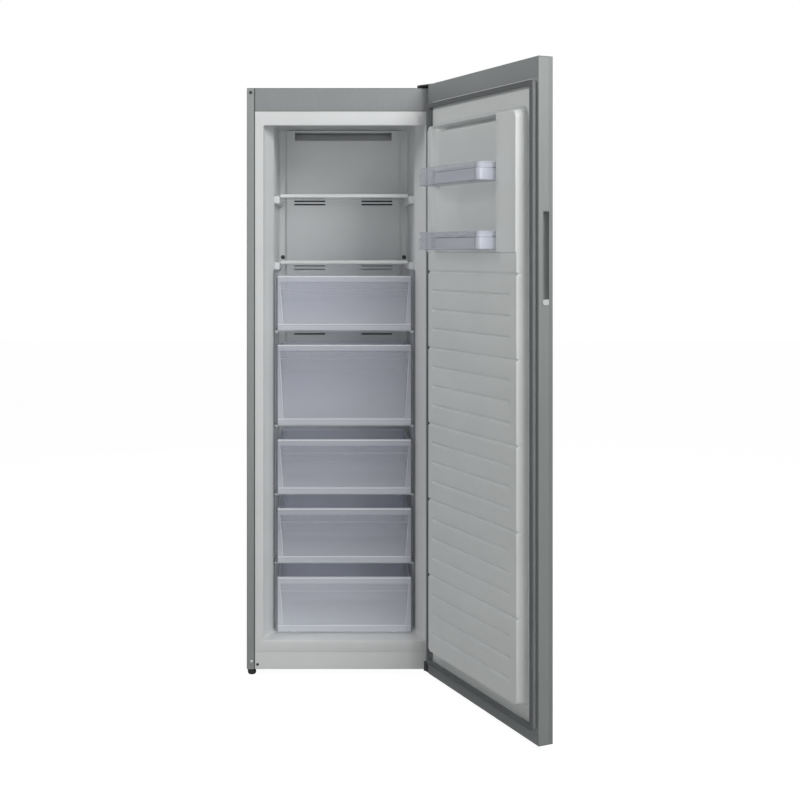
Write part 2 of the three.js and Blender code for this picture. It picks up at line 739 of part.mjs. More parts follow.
function drainTube() {
  const z0 = compressorTop() + GAP + TRAY_WALL + DRAIN_ABOVE_TRAY;
  const z1 = chamber.floor + LINER_WALL / 2;
  const ring = turned([
    [DRAIN_BORE, z0],
    [DRAIN_RADIUS, z0],
    [DRAIN_RADIUS, z1],
    [DRAIN_BORE, z1],
    [DRAIN_BORE, z0],
  ]);
  return ring.translate(COMPRESSOR_X, drainY(), 0);
}

// Machine compartment

const compressorY = machine.front + SHEET + MACHINE_DEPTH / 2 + COMPRESSOR_BACKSET;
const compressorReach = COMPRESSOR_RADIUS * COMPRESSOR_OVAL;
const plateHalf = {
  x: compressorReach + BASE_PLATE.beside,
  y: COMPRESSOR_RADIUS - BASE_PLATE.inside,
};

function compressorMounts() {
  const dx = plateHalf.x - BASE_PLATE.mountInset;
  const dy = plateHalf.y - BASE_PLATE.mountInset;
  return [-1, 1].flatMap((sx) =>
    [-1, 1].map((sy) => ({ x: COMPRESSOR_X + sx * dx, y: compressorY + sy * dy })),
  );
}

function compressorTop() {
  return deckZ + MOUNT_HEIGHT + GAP + COMPRESSOR_HEIGHT;
}

// Oval shell with a round foot, a welded rim and a domed top, on its base plate.
function compressor() {
  const z0 = deckZ + MOUNT_HEIGHT + GAP;
  const z1 = compressorTop();
  const r = COMPRESSOR_RADIUS - SEAM.out;
  const seamZ = (z0 + z1) / 2 + SEAM.above;
  const curveSteps = 4;
  const foot = [];
  const dome = [];
  for (let step = 0; step <= curveSteps; step++) {
    const angle = (Math.PI / 2) * (step / curveSteps);
    const out = Math.sin(angle);
    const rise = 1 - Math.cos(angle);
    foot.push([r - SHELL_FOOT_CURVE * (1 - out), z0 + PAST + SHELL_FOOT_CURVE * rise]);
    dome.unshift([r * out, z1 - SHELL_DOME * rise]);
  }
  const seam = [
    [r, seamZ - SEAM.height / 2],
    [r + SEAM.out, seamZ - SEAM.height / 2],
    [r + SEAM.out, seamZ + SEAM.height / 2],
    [r, seamZ + SEAM.height / 2],
  ];
  const shell = turned([[0, z0 + PAST], ...foot, ...seam, ...dome]);
  shell.scale(COMPRESSOR_OVAL, 1, 1);
  shell.translate(COMPRESSOR_X, compressorY, 0);
  const { x, y } = plateHalf;
  const [x0, x1] = [COMPRESSOR_X - x, COMPRESSOR_X + x];
  const plate = box(x0, x1, compressorY - y, compressorY + y, z0, z0 + BASE_PLATE.thickness);
  return join(shell, plate);
}

function evaporatingTray() {
  const z0 = compressorTop() + GAP;
  const z1 = z0 + TRAY_HEIGHT;
  const x0 = COMPRESSOR_X - compressorReach;
  const x1 = COMPRESSOR_X + compressorReach;
  const y0 = compressorY - COMPRESSOR_RADIUS - TRAY_OVERLAP;
  const y1 = compressorY + COMPRESSOR_RADIUS + TRAY_OVERLAP;
  const w = TRAY_WALL;
  const outer = box(x0, x1, y0, y1, z0, z1);
  return cut(outer, box(x0 + w, x1 - w, y0 + w, y1 - w, z0 + w, z1 + PAST));
}

function condenser() {
  const x0 = -half + CONDENSER_FROM_SIDE;
  const x1 = COMPRESSOR_X - compressorReach - CONDENSER_FROM_COMPRESSOR;
  const z0 = deckZ + PIPE_RADIUS + GAP;
  const y = machine.front + MACHINE_DEPTH / 2;
  return tube(serpentine(x0, x1, y, z0, CONDENSER_PITCH, CONDENSER_RUNS), PIPE_RADIUS);
}

// Block with a socket open to the back and three contact pins in it.
function mainsInlet() {
  const z1 = machine.top - SHEET - 2 * GAP;
  const x0 = -half + INLET.fromSide;
  const y1 = DEPTH - SHEET - GAP;
  const body = box(x0, x0 + INLET.width, y1 - INLET.depth, y1, z1 - INLET.height, z1);
  const socketX = x0 + SOCKET.fromSide;
  const socketTop = z1 - SOCKET.drop;
  const floorY = y1 - SOCKET.depth;
  const [sx1, sz0] = [socketX + SOCKET.width, socketTop - SOCKET.height];
  const socket = box(socketX, sx1, floorY, y1 + PAST, sz0, socketTop);
  const pins = [-1, 0, 1].map((step) => {
    const x = x0 + INLET.width / 2 + step * BLADE_PIN.pitch;
    const z = z1 - BLADE_PIN.drop + (step ? 0 : BLADE_PIN.earthRise);
    const [w, h] = [BLADE_PIN.width / 2, BLADE_PIN.height / 2];
    return box(x - w, x + w, floorY - PAST, floorY - PAST + BLADE_PIN.length, z - h, z + h);
  });
  return join(cut(body, socket), ...pins);
}

// Feet and rollers

function footPlace(side) {
  return { x: side * (half - FOOT_FROM_SIDE), y: FOOT_FROM_FRONT };
}

function frontFoot() {
  const padTop = FOOT_HEIGHT - LOWER_PLATE - FOOT_PLATE_GAP;
  const stemTop = deckZ - DECK_SKIN - 2 * GAP;
  const r = FOOT_RADIUS;
  return turned([
    [0, 0],
    [r - FOOT_BEVEL.out, 0],
    [r, FOOT_BEVEL.up],
    [r, padTop - FOOT_SHOULDER],
    [r - FOOT_SHOULDER, padTop],
    [STEM_RADIUS, padTop],
    [STEM_RADIUS, stemTop],
    [0, stemTop],
  ]);
}

function roller(side) {
  const at = { y: DEPTH - ROLLER_FROM_BACK, z: ROLLER_RADIUS };
  const x = side * ROLLER_X;
  const w = ROLLER_WIDTH / 2;
  const wheel = rod(ROLLER_RADIUS, "x", x - w, x + w, at, 32);
  return cut(wheel, rod(AXLE_RADIUS + RUNNING, "x", x - w - PAST, x + w + PAST, at));
}

function rearAxle() {
  const reach = ROLLER_X + ROLLER_WIDTH / 2 + ROLLER_SIDE_GAP + EAR + AXLE_END;
  return rod(AXLE_RADIUS, "x", -reach, reach, { y: DEPTH - ROLLER_FROM_BACK, z: ROLLER_RADIUS });
}

// Hinge brackets and pins

// Plan of a hinge plate: from the cabinet's edge forwards to a round tip about the pin.
function platePlan(back, width) {
  const shape = new THREE.Shape();
  const right = half - GAP;
  const tip = right - pin.x;
  shape.moveTo(right, back);
  shape.lineTo(right - width, back);
  shape.lineTo(right - width, PLATE_SHOULDER);
  shape.absarc(pin.x, pin.y - PLATE_TIP, tip, Math.PI, 2 * Math.PI);
  shape.lineTo(right, back);
  return shape;
}

// The upper plate lies on the cabinet's top and steps up over the door's top.
function upperBracket() {
  const z0 = topZ + GAP;
  const z1 = doorTop + 2 * GAP;
  const front = pin.y - PLATE_WIDTH;
  const rampBack = RAMP_FRONT + RAMP;
  const side = outline([
    [front, z1],
    [RAMP_FRONT, z1],
    [rampBack, z0],
    [PLATE_BACK, z0],
    [PLATE_BACK, z0 + PLATE],
    [rampBack + PLATE, z0 + PLATE],
    [RAMP_FRONT + PLATE, z1 + PLATE],
    [front, z1 + PLATE],
  ]);
  const plan = prismZ(platePlan(PLATE_BACK, PLATE_WIDTH), z0 - PAST, z1 + PLATE + PAST);
  const bore = rod(PIN_RADIUS + RUNNING, "z", z0, z1 + PLATE + PAST, pin);
  return cut(common(prismX(side, 0, half), plan), bore);
}

function upperPin() {
  const seat = doorTop + 2 * GAP + PLATE + GAP;
  const shaft = rod(PIN_RADIUS, "z", doorTop - PIN_REACH, seat + PAST, pin);
  return join(shaft, rod(PIN_HEAD_RADIUS, "z", seat, seat + PIN_HEAD, pin));
}

function lowerBracket() {
  const z1 = baseZ - GAP;
  const z0 = z1 - LOWER_PLATE;
  const plate = prismZ(platePlan(PLATE_BACK, LOWER_PLATE_WIDTH), z0, z1);
  const right = half - LUG_FROM_SIDE;
  const lug = box(right - LUG_WIDTH, right, -GAP - LUG_THICKNESS, -GAP, z0, z1 + LUG_HEIGHT);
  const bore = rod(PIN_RADIUS + RUNNING, "z", z0 - PAST, z1 + PAST, pin);
  const stem = rod(STEM_RADIUS + STEM_GAP, "z", z0 - PAST, z1 + PAST, footPlace(1));
  return cut(join(plate, lug), bore, stem);
}

function lowerPin() {
  const seat = baseZ - GAP - LOWER_PLATE - GAP;
  const shaft = rod(PIN_RADIUS, "z", seat - PAST, doorBottom + PIN_REACH, pin);
  return join(shaft, rod(PIN_HEAD_RADIUS, "z", seat - PIN_HEAD, seat, pin));
}

// Shelves and dividers: glass, and a white trim round the front edge of a shelf.

function glassPlate(front, z) {
  const h = room.half - GLASS_SIDE_GAP;
  return box(-h, h, front, coverFront - GLASS_BACK_GAP, z - GLASS, z);
}

function shelfTrim(z) {
  const h = room.half - SHELF_LEDGE_WIDTH - TRIM_SIDE_GAP;
  const front = GLASS_FRONT - TRIM_WALL;
  const bar = box(-h, h, front, front + TRIM_DEPTH, z - TRIM_HEIGHT, z);
  const glassTop = z - TRIM_LIP;
  const slotFront = GLASS_FRONT - GAP;
  const slot = box(-h - PAST, h + PAST, slotFront, DEPTH, glassTop - GLASS - GAP, glassTop + GAP);
  return cut(bar, slot);
}

// Drawers

// Front panel with a thick rail along its top edge and a thin one along its bottom edge.
function drawerFront(height) {
  const y = DRAWER_FRONT;
  const w = DRAWER_WALL;
  const section = outline([
    [y, 0],
    [y + FOOT_RAIL_DEPTH, 0],
    [y + FOOT_RAIL_DEPTH, FOOT_RAIL_HEIGHT],
    [y + w, FOOT_RAIL_HEIGHT],
    [y + w, height - RAIL_HEIGHT],
    [y + RAIL_DEPTH, height - RAIL_HEIGHT + RAIL_SLOPE],
    [y + RAIL_DEPTH, height - RAIL_CHAMFER],
    [y + RAIL_DEPTH - RAIL_CHAMFER, height],
    [y, height],
  ]);
  return prismX(section, -drawerHalf, drawerHalf);
}

// Tub with a bottom, two sides, a back and a low front wall behind the front panel.
function drawerTub(height) {
  const h = drawerHalf - TUB_INSET;
  const y0 = DRAWER_FRONT + RAIL_DEPTH + GAP;
  const y1 = coverFront - DRAWER_BACK_GAP;
  const w = DRAWER_WALL;
  const top = height - TUB_DROP;
  const outerPlan = roundedOutline(-h, h, y0, y1, TUB_FRONT_CORNER, TUB_CORNER);
  const innerCorners = [TUB_FRONT_CORNER - w, TUB_CORNER - w];
  const innerPlan = roundedOutline(-h + w, h - w, y0 + w, y1 - w, ...innerCorners);
  const heelHalf = h - TUB_HEEL_INSET;
  const heel = box(-heelHalf, heelHalf, DRAWER_FRONT + FOOT_RAIL_DEPTH + GAP, y0 + w, 0, w);
  return cut(join(prismZ(outerPlan, 0, top), heel), prismZ(innerPlan, w, top + PAST));
}

// Door pieces, in u, v and z

// Plan of the door's front, drawn in by an inset, with round corners and open towards v1.
function doorPlan(inset, v1) {
  const r = SKIN_CORNER - inset;
  const v0 = -DOOR_THICKNESS + inset;
  const quarter = Math.PI / 2;
  const shape = new THREE.Shape();
  shape.moveTo(inset, v1);
  shape.lineTo(inset, v0 + r);
  shape.absarc(inset + r, v0 + r, r, 2 * quarter, 3 * quarter);
  shape.lineTo(WIDTH - inset - r, v0);
  shape.absarc(WIDTH - inset - r, v0 + r, r, 3 * quarter, 4 * quarter);
  shape.lineTo(WIDTH - inset, v1);
  return shape;
}

// Steel front of the door with rounded upright edges and short side returns.
function doorSkin() {
  const returnEnd = -DOOR_THICKNESS + SKIN_RETURN;
  const outer = prismZ(doorPlan(0, returnEnd), doorBottom, doorTop);
  const inner = prismZ(doorPlan(SHEET, returnEnd + PAST), doorBottom - PAST, doorTop + PAST);
  return cut(outer, inner);
}

// L-shaped edge: the door's side and the narrow flange under the gasket.
function doorEdge() {
  const v0 = -DOOR_THICKNESS + SKIN_RETURN + GAP;
  const z0 = doorBottom + CAP_PLATE + GAP;
  const z1 = doorTop - CAP_PLATE - GAP;
  const wall = box(0, EDGE_WALL, v0, 0, z0, z1);
  const flange = box(0, EDGE_WIDTH, -EDGE_WALL, 0, capBottomTop + GAP, capTopBottom - GAP);
  return join(wall, flange);
}

// The same piece for the door's other side, with its triangles turned round again.
function mirrorU(geometry) {
  const bare = geometry.clone().scale(-1, 1, 1).translate(WIDTH, 0, 0);
  const count = bare.attributes.position.count;
  const order = Array.from({ length: count }, (_, i) => count - 1 - i);
  bare.setIndex(order);
  const mirrored = bare.toNonIndexed();
  mirrored.computeVertexNormals();
  return mirrored;
}

// Free edge, with the finger pocket that reaches in behind the skin's return.
function freeEdge() {
  const v1 = -GRIP_INSET;
  const v0 = v1 - GRIP_WIDTH;
  const z0 = GRIP_BOTTOM;
  const z1 = GRIP_BOTTOM + GRIP_HEIGHT;
  const w = GRIP_WALL;
  const shell = box(SHEET + GAP, GRIP_DEPTH + w, v0 - w, v1 + w, z0 - w, z1 + w);
  const pocket = box(-PAST, GRIP_DEPTH, v0, v1, z0, z1);
  return cut(join(doorEdge(), shell), pocket);
}

// End cap: a plate across the end, and the flange seen on the inside of the door.
function endCap(plateZ0, plateZ1, flangeZ0, flangeZ1) {
  const inset = SHEET + GAP;
  const plate = prismZ(doorPlan(inset, 0), plateZ0, plateZ1);
  const side = EDGE_WALL + GAP;
  const flange = box(side, WIDTH - side, -EDGE_WALL, 0, flangeZ0, flangeZ1);
  const sides = [
    box(0, EDGE_WIDTH, -DOOR_THICKNESS + SKIN_RETURN + GAP, 0, plateZ0, plateZ1),
    box(WIDTH - EDGE_WIDTH, WIDTH, -DOOR_THICKNESS + SKIN_RETURN + GAP, 0, plateZ0, plateZ1),
  ];
  const bore = rod(bushRadius + GAP, "z", plateZ0 - PAST, plateZ1 + PAST, pinInDoor);
  return cut(join(plate, flange, ...sides), bore);
}

const bushRadius = PIN_RADIUS + RUNNING + BUSH_WALL;
const pinInDoor = { x: pinU, y: -PIN_AHEAD };

function topCap() {
  return endCap(doorTop - CAP_PLATE, doorTop, capTopBottom, doorTop - CAP_PLATE / 2);
}

function bottomCap() {
  return endCap(doorBottom, doorBottom + CAP_PLATE, doorBottom + CAP_PLATE / 2, capBottomTop);
}

function bush(z0, z1, flangeZ0, flangeZ1) {
  const bore = PIN_RADIUS + RUNNING;
  const body = turned([
    [bore, z0],
    [bushRadius, z0],
    [bushRadius, z1],
    [bore, z1],
    [bore, z0],
  ]);
  const flange = turned([
    [bore, flangeZ0],
    [bushRadius + BUSH_FLANGE, flangeZ0],
    [bushRadius + BUSH_FLANGE, flangeZ1],
    [bore, flangeZ1],
    [bore, flangeZ0],
  ]);
  return join(body, flange).translate(pinInDoor.x, pinInDoor.y, 0);
}

function upperBush() {
  const z0 = doorTop - PIN_REACH - BUSH_END;
  return bush(z0, doorTop, z0, z0 + BUSH_FLANGE);
}

function lowerBush() {
  const z1 = doorBottom + PIN_REACH + BUSH_END;
  const thrust = DOOR_LIFT - GAP;
  return bush(doorBottom - thrust, z1, z1 - BUSH_FLANGE, z1);
}

// The liner's raised face, drawn in by a wall: lower plateau and rack frame without its recess.
function raised(inward) {
  const rect = (base, z0, z1, v) => ({
    x0: base + inward,
    x1: WIDTH - base - inward,
    z0: z0 + inward,
    z1: z1 - inward,
    y: v,
  });
  const foot = PLATEAU_INSET;
  const face = PLATEAU_INSET + PLATEAU_DRAFT;
  const draft = PLATEAU_DRAFT / 2;
  const zoneTop = mouth.top - FRAME_TOP_CLEAR;
  const low = plateauBottom - draft;
  const high = PLATEAU_HEIGHT + FRAME_RISE;
  const back = -LINER_WALL - inward;
  const step = rackZone.z0 + 2 * inward + PAST;
  const lower = taper(
    rect(foot, low, step, back),
    rect(face, plateauBottom, step, PLATEAU_HEIGHT - inward),
  );
  const upper = taper(
    rect(foot, rackZone.z0, zoneTop, back),
    rect(face, rackZone.z0, zoneTop, high - inward),
  );
  const recess = box(
    rackZone.u0 - inward,
    rackZone.u1 + inward,
    -inward,
    high + PAST,
    rackZone.z0 - inward,
    rackZone.z1 + inward,
  );
  return cut(join(lower, upper), recess);
}

function rackSeats() {
  const upperRack = rackZone.z1 - RACK_DROP;
  return [upperRack, upperRack - RACK_PITCH];
}

function doorLiner() {
  const u0 = EDGE_WIDTH + GAP;
  const rim = box(u0, WIDTH - u0, -LINER_WALL, 0, capBottomTop + GAP, capTopBottom - GAP);
  const skin = cut(join(rim, raised(0)), raised(LINER_WALL));
  const grooves = [];
  const face = PLATEAU_INSET + PLATEAU_DRAFT;
  const count = Math.floor((rackZone.z0 - plateauBottom) / GROOVE_PITCH);
  for (let i = 0; i < count; i++) {
    const z = rackZone.z0 - (i + 1) * GROOVE_PITCH;
    const inset = face + (i % LONG_EVERY === 0 ? LONG_GROOVE_INSET : GROOVE_INSET);
    const v1 = PLATEAU_HEIGHT + PAST;
    const v0 = PLATEAU_HEIGHT - GROOVE_DEPTH;
    grooves.push(box(inset, WIDTH - inset, v0, v1, z - GROOVE_WIDTH / 2, z + GROOVE_WIDTH / 2));
  }
  const pegs = rackSeats().flatMap((z) =>
    [rackZone.u0 + PEG_INSET, rackZone.u1 - PEG_INSET - RACK_PEG].map((u) =>
      box(u, u + RACK_PEG, -LINER_WALL / 2, RACK_PEG, z - GAP - PEG_HEIGHT, z - GAP),
    ),
  );
  return join(cut(skin, ...grooves), ...pegs);
}

function doorFoam() {
  const z0 = doorBottom + CAP_PLATE + GAP;
  const z1 = doorTop - CAP_PLATE - GAP;
  const front = prismZ(doorPlan(SHEET + GAP, -LINER_WALL - GAP), z0, z1);
  const u0 = EDGE_WALL + GAP;
  const slab = common(front, box(u0, WIDTH - u0, -DOOR_THICKNESS, 0, z0, z1));
  const block = join(slab, raised(LINER_WALL + GAP));
  const w = GRIP_WALL + GAP;
  const v1 = -GRIP_INSET + w;
  const v0 = -GRIP_INSET - GRIP_WIDTH - w;
  const gripTop = GRIP_BOTTOM + GRIP_HEIGHT;
  const grip = box(-PAST, GRIP_DEPTH + w, v0, v1, GRIP_BOTTOM - w, gripTop + w);
  const r = bushRadius + BUSH_FLANGE + GAP;
  const reach = PIN_REACH + BUSH_END + GAP;
  const upper = rod(r, "z", doorTop - reach, doorTop, pinInDoor);
  const lower = rod(r, "z", doorBottom, doorBottom + reach, pinInDoor);
  return cut(block, grip, upper, lower);
}

// Closed ring with a narrow foot and a wide magnet lip.
function doorGasket() {
  const ring = (inset, v0, v1) => {
    const u0 = GASKET_FROM_SIDE + inset;
    const z0 = doorBottom + GASKET_FROM_BOTTOM + inset;
    const z1 = doorTop - GASKET_FROM_TOP - inset;
    const w = GASKET_WIDTH - 2 * inset;
    return cut(
      box(u0, WIDTH - u0, v0, v1, z0, z1),
      box(u0 + w, WIDTH - u0 - w, v0 - PAST, v1 + PAST, z0 + w, z1 - w),
    );
  };
  const top = GAP + GASKET_HEIGHT;
  return join(ring(GASKET_UNDERCUT, GAP, top), ring(0, top - GASKET_LIP, top));
}

function rackTub(z) {
  const u0 = rackZone.u0 + RACK_SIDE_GAP;
  const u1 = rackZone.u1 - RACK_SIDE_GAP;
  const w = RACK_WALL;
  const v0 = RACK_BACK_GAP;
  const top = z + RACK_HEIGHT;
  const outerPlan = roundedOutline(u0, u1, v0, RACK_DEPTH, RACK_BACK_CORNER, RACK_CORNER);
  const innerCorners = [RACK_BACK_CORNER - w, RACK_CORNER - w];
  const innerPlan = roundedOutline(u0 + w, u1 - w, v0 + w, RACK_DEPTH - w, ...innerCorners);
  return cut(prismZ(outerPlan, z, top), prismZ(innerPlan, z + w, top + PAST));
}

// Assembly

const splitX = room.half + LINER_WALL + 1.5 * GAP;

add(cabinet, "left_side_panel", sidePanel(-1), STEEL);
add(cabinet, "right_side_panel", sidePanel(1), STEEL);
add(cabinet, "top_cover", topCover(), BAND_GREY);
add(cabinet, "rear_panel", rearPanel(), ZINC);
add(cabinet, "base_frame", baseFrame(), BLACK);
add(cabinet, "plinth", plinth(), WHITE);
add(cabinet, "inner_liner", innerLiner(), WHITE);
add(cabinet, "foam_left", foam(-half, -splitX), FOAM);
add(cabinet, "foam_right", foam(splitX, half), FOAM);
add(cabinet, "foam_core", foam(-splitX + GAP, splitX - GAP), FOAM);
add(cabinet, "control_module", controlModule(), BLACK);
add(cabinet, "evaporator_cover", evaporatorCover(), LINER_WHITE);
add(cabinet, "evaporator", evaporator(), ALLOY);
add(cabinet, "defrost_heater", defrostHeater(), ALLOY);
add(cabinet, "fan_motor", fanMotor(), BLACK);
add(cabinet, "fan_impeller", fanImpeller(), LINER_WHITE);
add(cabinet, "drain_tube", drainTube(), BLACK);
add(cabinet, "compressor", compressor(), BLACK);
add(cabinet, "evaporating_tray", evaporatingTray(), BLACK);
add(cabinet, "condenser", condenser(), BLACK);
add(cabinet, "mains_inlet", mainsInlet(), BLACK);
add(cabinet, "upper_hinge_bracket", upperBracket(), BLACK);
add(cabinet, "upper_hinge_pin", upperPin(), ZINC);
add(cabinet, "lower_hinge_bracket", lowerBracket(), BLACK);
add(cabinet, "lower_hinge_pin", lowerPin(), ZINC);
add(cabinet, "rear_axle", rearAxle(), ZINC);

for (const [name, side] of [["left", -1], ["right", 1]]) {
  const place = footPlace(side);
  const foot = new THREE.Group();
  foot.position.set(place.x, place.y, 0);
  add(foot, `front_foot_${name}`, frontFoot(), BLACK);
  cabinet.add(foot);
  add(cabinet, `rear_roller_${name}`, roller(side), BLACK);
}

[upperShelfZ, lowerShelfZ].forEach((z, i) => {
  add(cabinet, `shelf_glass_${i + 1}`, glassPlate(GLASS_FRONT, z - TRIM_LIP), GLASS_CLEAR);
  add(cabinet, `shelf_trim_${i + 1}`, shelfTrim(z), WHITE);
});

// Drawers and dividers are numbered from the top.
drawerSeats.forEach((seat, i) => {
  const number = drawerSeats.length - i;
  const height = DRAWER_HEIGHT + drawerExtra[i];
  const drawer = new THREE.Group();
  drawer.position.z = seat + DRAWER_CLEARANCE;
  add(drawer, `drawer_front_${number}`, drawerFront(height), DRAWER_BLUE);
  add(drawer, `drawer_tub_${number}`, drawerTub(height), DRAWER_BLUE);
  cabinet.add(drawer);
  if (i > 0) add(cabinet, `divider_glass_${number}`, glassPlate(DIVIDER_FRONT, seat), GLASS_CLEAR);
});

const hinge = new THREE.Group();
hinge.position.set(pin.x, pin.y, 0);
hinge.rotation.z = THREE.MathUtils.degToRad(DOOR_OPEN);
const door = new THREE.Group();
door.position.set(-pinU, PIN_AHEAD, 0);
hinge.add(door);
cabinet.add(hinge);
add(door, "door_skin", doorSkin(), STEEL);
add(door, "door_edge_free", freeEdge(), STEEL);
add(door, "door_edge_hinge", mirrorU(doorEdge()), STEEL);
add(door, "door_top_cap", topCap(), STEEL);
add(door, "door_bottom_cap", bottomCap(), STEEL);
add(door, "door_foam", doorFoam(), FOAM);
add(door, "door_liner", doorLiner(), WHITE);
add(door, "door_gasket", doorGasket(), RUBBER_GREY);
add(door, "upper_hinge_bush", upperBush(), BLACK);
add(door, "lower_hinge_bush", lowerBush(), BLACK);
rackSeats().forEach((z, i) => add(door, `door_rack_${i + 1}`, rackTub(z), DRAWER_BLUE));

// The origin is on the floor under the middle of the whole, with the door open.
const bounds = new THREE.Box3().setFromObject(freezer, true);
const middle = bounds.getCenter(new THREE.Vector3());
cabinet.position.set(-middle.x, -middle.y, 0);

export default freezer;
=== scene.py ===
"""Upright freezer with its door open: surfaces, finishes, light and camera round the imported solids.

Lengths in this file are millimetres measured on the cabinet (x from its middle, y from its front
plane, z from the floor) or on the door (u from its free edge, v inwards from its inner plane, z);
in_cabinet and in_door turn them into the shared frame's metres.
"""

import json
import math
from functools import partial

import bmesh
import bpy
import numpy as np
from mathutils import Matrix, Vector


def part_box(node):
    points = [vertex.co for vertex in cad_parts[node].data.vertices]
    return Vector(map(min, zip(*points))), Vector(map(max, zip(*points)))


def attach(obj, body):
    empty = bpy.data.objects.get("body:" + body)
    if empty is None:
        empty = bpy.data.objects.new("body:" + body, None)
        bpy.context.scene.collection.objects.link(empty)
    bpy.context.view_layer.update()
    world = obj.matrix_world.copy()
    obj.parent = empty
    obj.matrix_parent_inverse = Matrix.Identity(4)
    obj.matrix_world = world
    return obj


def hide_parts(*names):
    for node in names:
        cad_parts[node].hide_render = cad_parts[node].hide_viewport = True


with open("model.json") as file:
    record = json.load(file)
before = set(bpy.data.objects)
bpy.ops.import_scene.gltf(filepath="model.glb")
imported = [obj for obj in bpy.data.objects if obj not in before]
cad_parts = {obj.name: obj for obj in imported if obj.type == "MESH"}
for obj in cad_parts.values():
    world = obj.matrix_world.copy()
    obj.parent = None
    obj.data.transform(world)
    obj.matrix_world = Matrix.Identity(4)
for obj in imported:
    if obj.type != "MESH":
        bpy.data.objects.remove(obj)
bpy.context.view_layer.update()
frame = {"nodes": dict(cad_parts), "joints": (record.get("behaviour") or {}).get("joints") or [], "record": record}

MM = 0.001

# Cabinet
SHEET = 1.0  # steel sheet
SIDE_HALF, SIDE_BACK = 297.5, 588.7  # outer face and rear edge of the steel sides
SIDE_BOTTOM, SIDE_TOP = 19.0, 1785.7
BODY_BACK, BODY_TOP = 590.0, 1787.0
FLANGE_INNER = 275.4  # inner edge of a side's front flange
FRONT_HALF = 272.2  # frame, band and plinth between the side flanges
FRONT_PLATE = 2.0  # their depth
FRAME_BOTTOM, FRAME_TOP = 71.0, 1715.7
MOUTH_HALF, MOUTH_BOTTOM, MOUTH_TOP = 246.5, 106.0, 1673.0
ROOM_HALF, ROOM_FLOOR, ROOM_CEILING, ROOM_BACK = 218.5, 113.0, 1700.0, 408.0
CHAMBER_HALF, CHAMBER_FLOOR, CHAMBER_TOP, CHAMBER_BACK = 184.5, 320.0, 1690.0, 520.0
MACHINE_FRONT, MACHINE_TOP = 445.4, 249.6
FOOT_Y = 17.95
SCREW_X, SCREW_ROWS = 284.0, (268.0, 540.0, 812.0, 1084.0, 1356.0, 1628.0, 1768.0)
WALL_PLUGS = {  # x, z and radius, in the room's back wall
    "left": (-203.6, 1271.0, 7.0),
    "right": (205.8, 1271.0, 7.0),
    "low_left": (-203.3, 1052.0, 5.0),
    "low_right": (204.8, 1052.0, 5.0),
    "high_right": (199.4, 1066.0, 4.0),
}

# Shelves and drawers
SHELVES = (1469.0, 1262.0)
SHELF_TRIM = 10.5
SUPPORTS = (1047.0, 754.5, 542.0, 329.5, 117.0)  # what each drawer stands on, from the top
DRAWER_HEIGHTS = (167.1, 247.1, 167.1, 167.1, 167.1)
DRAWER_HALF = 209.7
DRAWER_FRONT = 50.0
DRAWER_CLEAR = 0.4  # over its support
BORDER, BORDER_FLARE = 9.0, 13.0  # side border of a drawer's front, and what it widens by
FOOT_BORDER, RIM_BORDER, STEP_FALL = 17.0, 18.0, 40.0  # its foot, its rim, and its second step
TUB_HALF, TUB_FRONT, TUB_BACK, TUB_DROP = 206.7, 54.8, 393.0, 14.0

# Door
DOOR_OPEN = math.radians(113.8)
PIN_U, PIN_AHEAD = 580.2, 27.0
RACKS = (1479.0, 1294.0)
RACK_FREE, RACK_HINGE, RACK_BACK, RACK_FRONT = 151.5, 505.5, 22.0, 89.0
LINER_FREE, LINER_HINGE, LINER_BOTTOM, LINER_TOP = 28.0, 567.0, 48.0, 1737.0
FIRST_GROOVE, GROOVE_PITCH, GROOVE_COUNT = 1229.8, 56.0, 20
GROOVE_HALF, GROOVE_DEPTH = 6.8, 5.0

# Light, as name, place, target, size and watts, and the camera as solved from the photograph
AMBIENT = 0.09
LAMPS = [
    ("key_lamp", (1.5, -2.4, 2.8), (0.0, 0.0, 1.2), (1.2, 1.2), 51.0),
    ("side_lamp", (-2.0, -0.5, 2.6), (0.4, -0.3, 1.5), (0.7, 0.7), 17.0),
    ("front_lamp", (0.0, -3.6, 1.2), (0.0, 0.0, 1.0), (3.0, 2.0), 23.5),
    ("rear_lamp", (-0.8, 3.6, 2.2), (0.0, 0.5, 1.0), (2.0, 2.0), 42.0),
]
FLOOR_REACH, FLOOR_TONE, FLOOR_GLOW, GLOW_SHARE = 14.0, 0.62, 1.13, 0.86
CAMERA = (-37.1, -3700.85, 1286.5)
PICTURE, FOCAL, VANISHING = 800, 1216.47, (332.29, 252.57)  # pixels
SENSOR = 36.0

low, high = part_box("top_cover")
MIDDLE_X = (low.x + high.x) / 2
FRONT_Y = low.y
pin = next(j for j in frame["joints"] if j["name"] == "door_hinge")["pos_m"]


# Places

def in_cabinet(x, y, z):
    """A point is the cabinet's middle and front plane plus its own x, y and z."""
    x, y, z = np.broadcast_arrays(x, y, z)
    return np.stack([MIDDLE_X + x * MM, FRONT_Y + y * MM, z * MM], -1)


def in_door(u, v, z):
    """A point's distances from the hinge pin, turned about Z by the opening angle."""
    u, v, z = np.broadcast_arrays(u, v, z)
    a, b = (u - PIN_U) * MM, (v + PIN_AHEAD) * MM
    c, s = math.cos(DOOR_OPEN), math.sin(DOOR_OPEN)
    return np.stack([pin[0] + a * c - b * s, pin[1] + a * s + b * c, z * MM], -1)


# Meshes

def quads(rows, columns, loop):
    """Corner numbers of a grid's quads. The columns join up, and so do the rows if loop is set."""
    r = np.arange(rows if loop else rows - 1)[:, None]
    c = np.arange(columns)[None, :]
    up, right = (r + 1) % rows, (c + 1) % columns
    corners = [r * columns + c, r * columns + right, up * columns + right, up * columns + c]
    return np.stack([np.broadcast_to(k, (r.size, c.size)) for k in corners], -1).reshape(-1, 4)


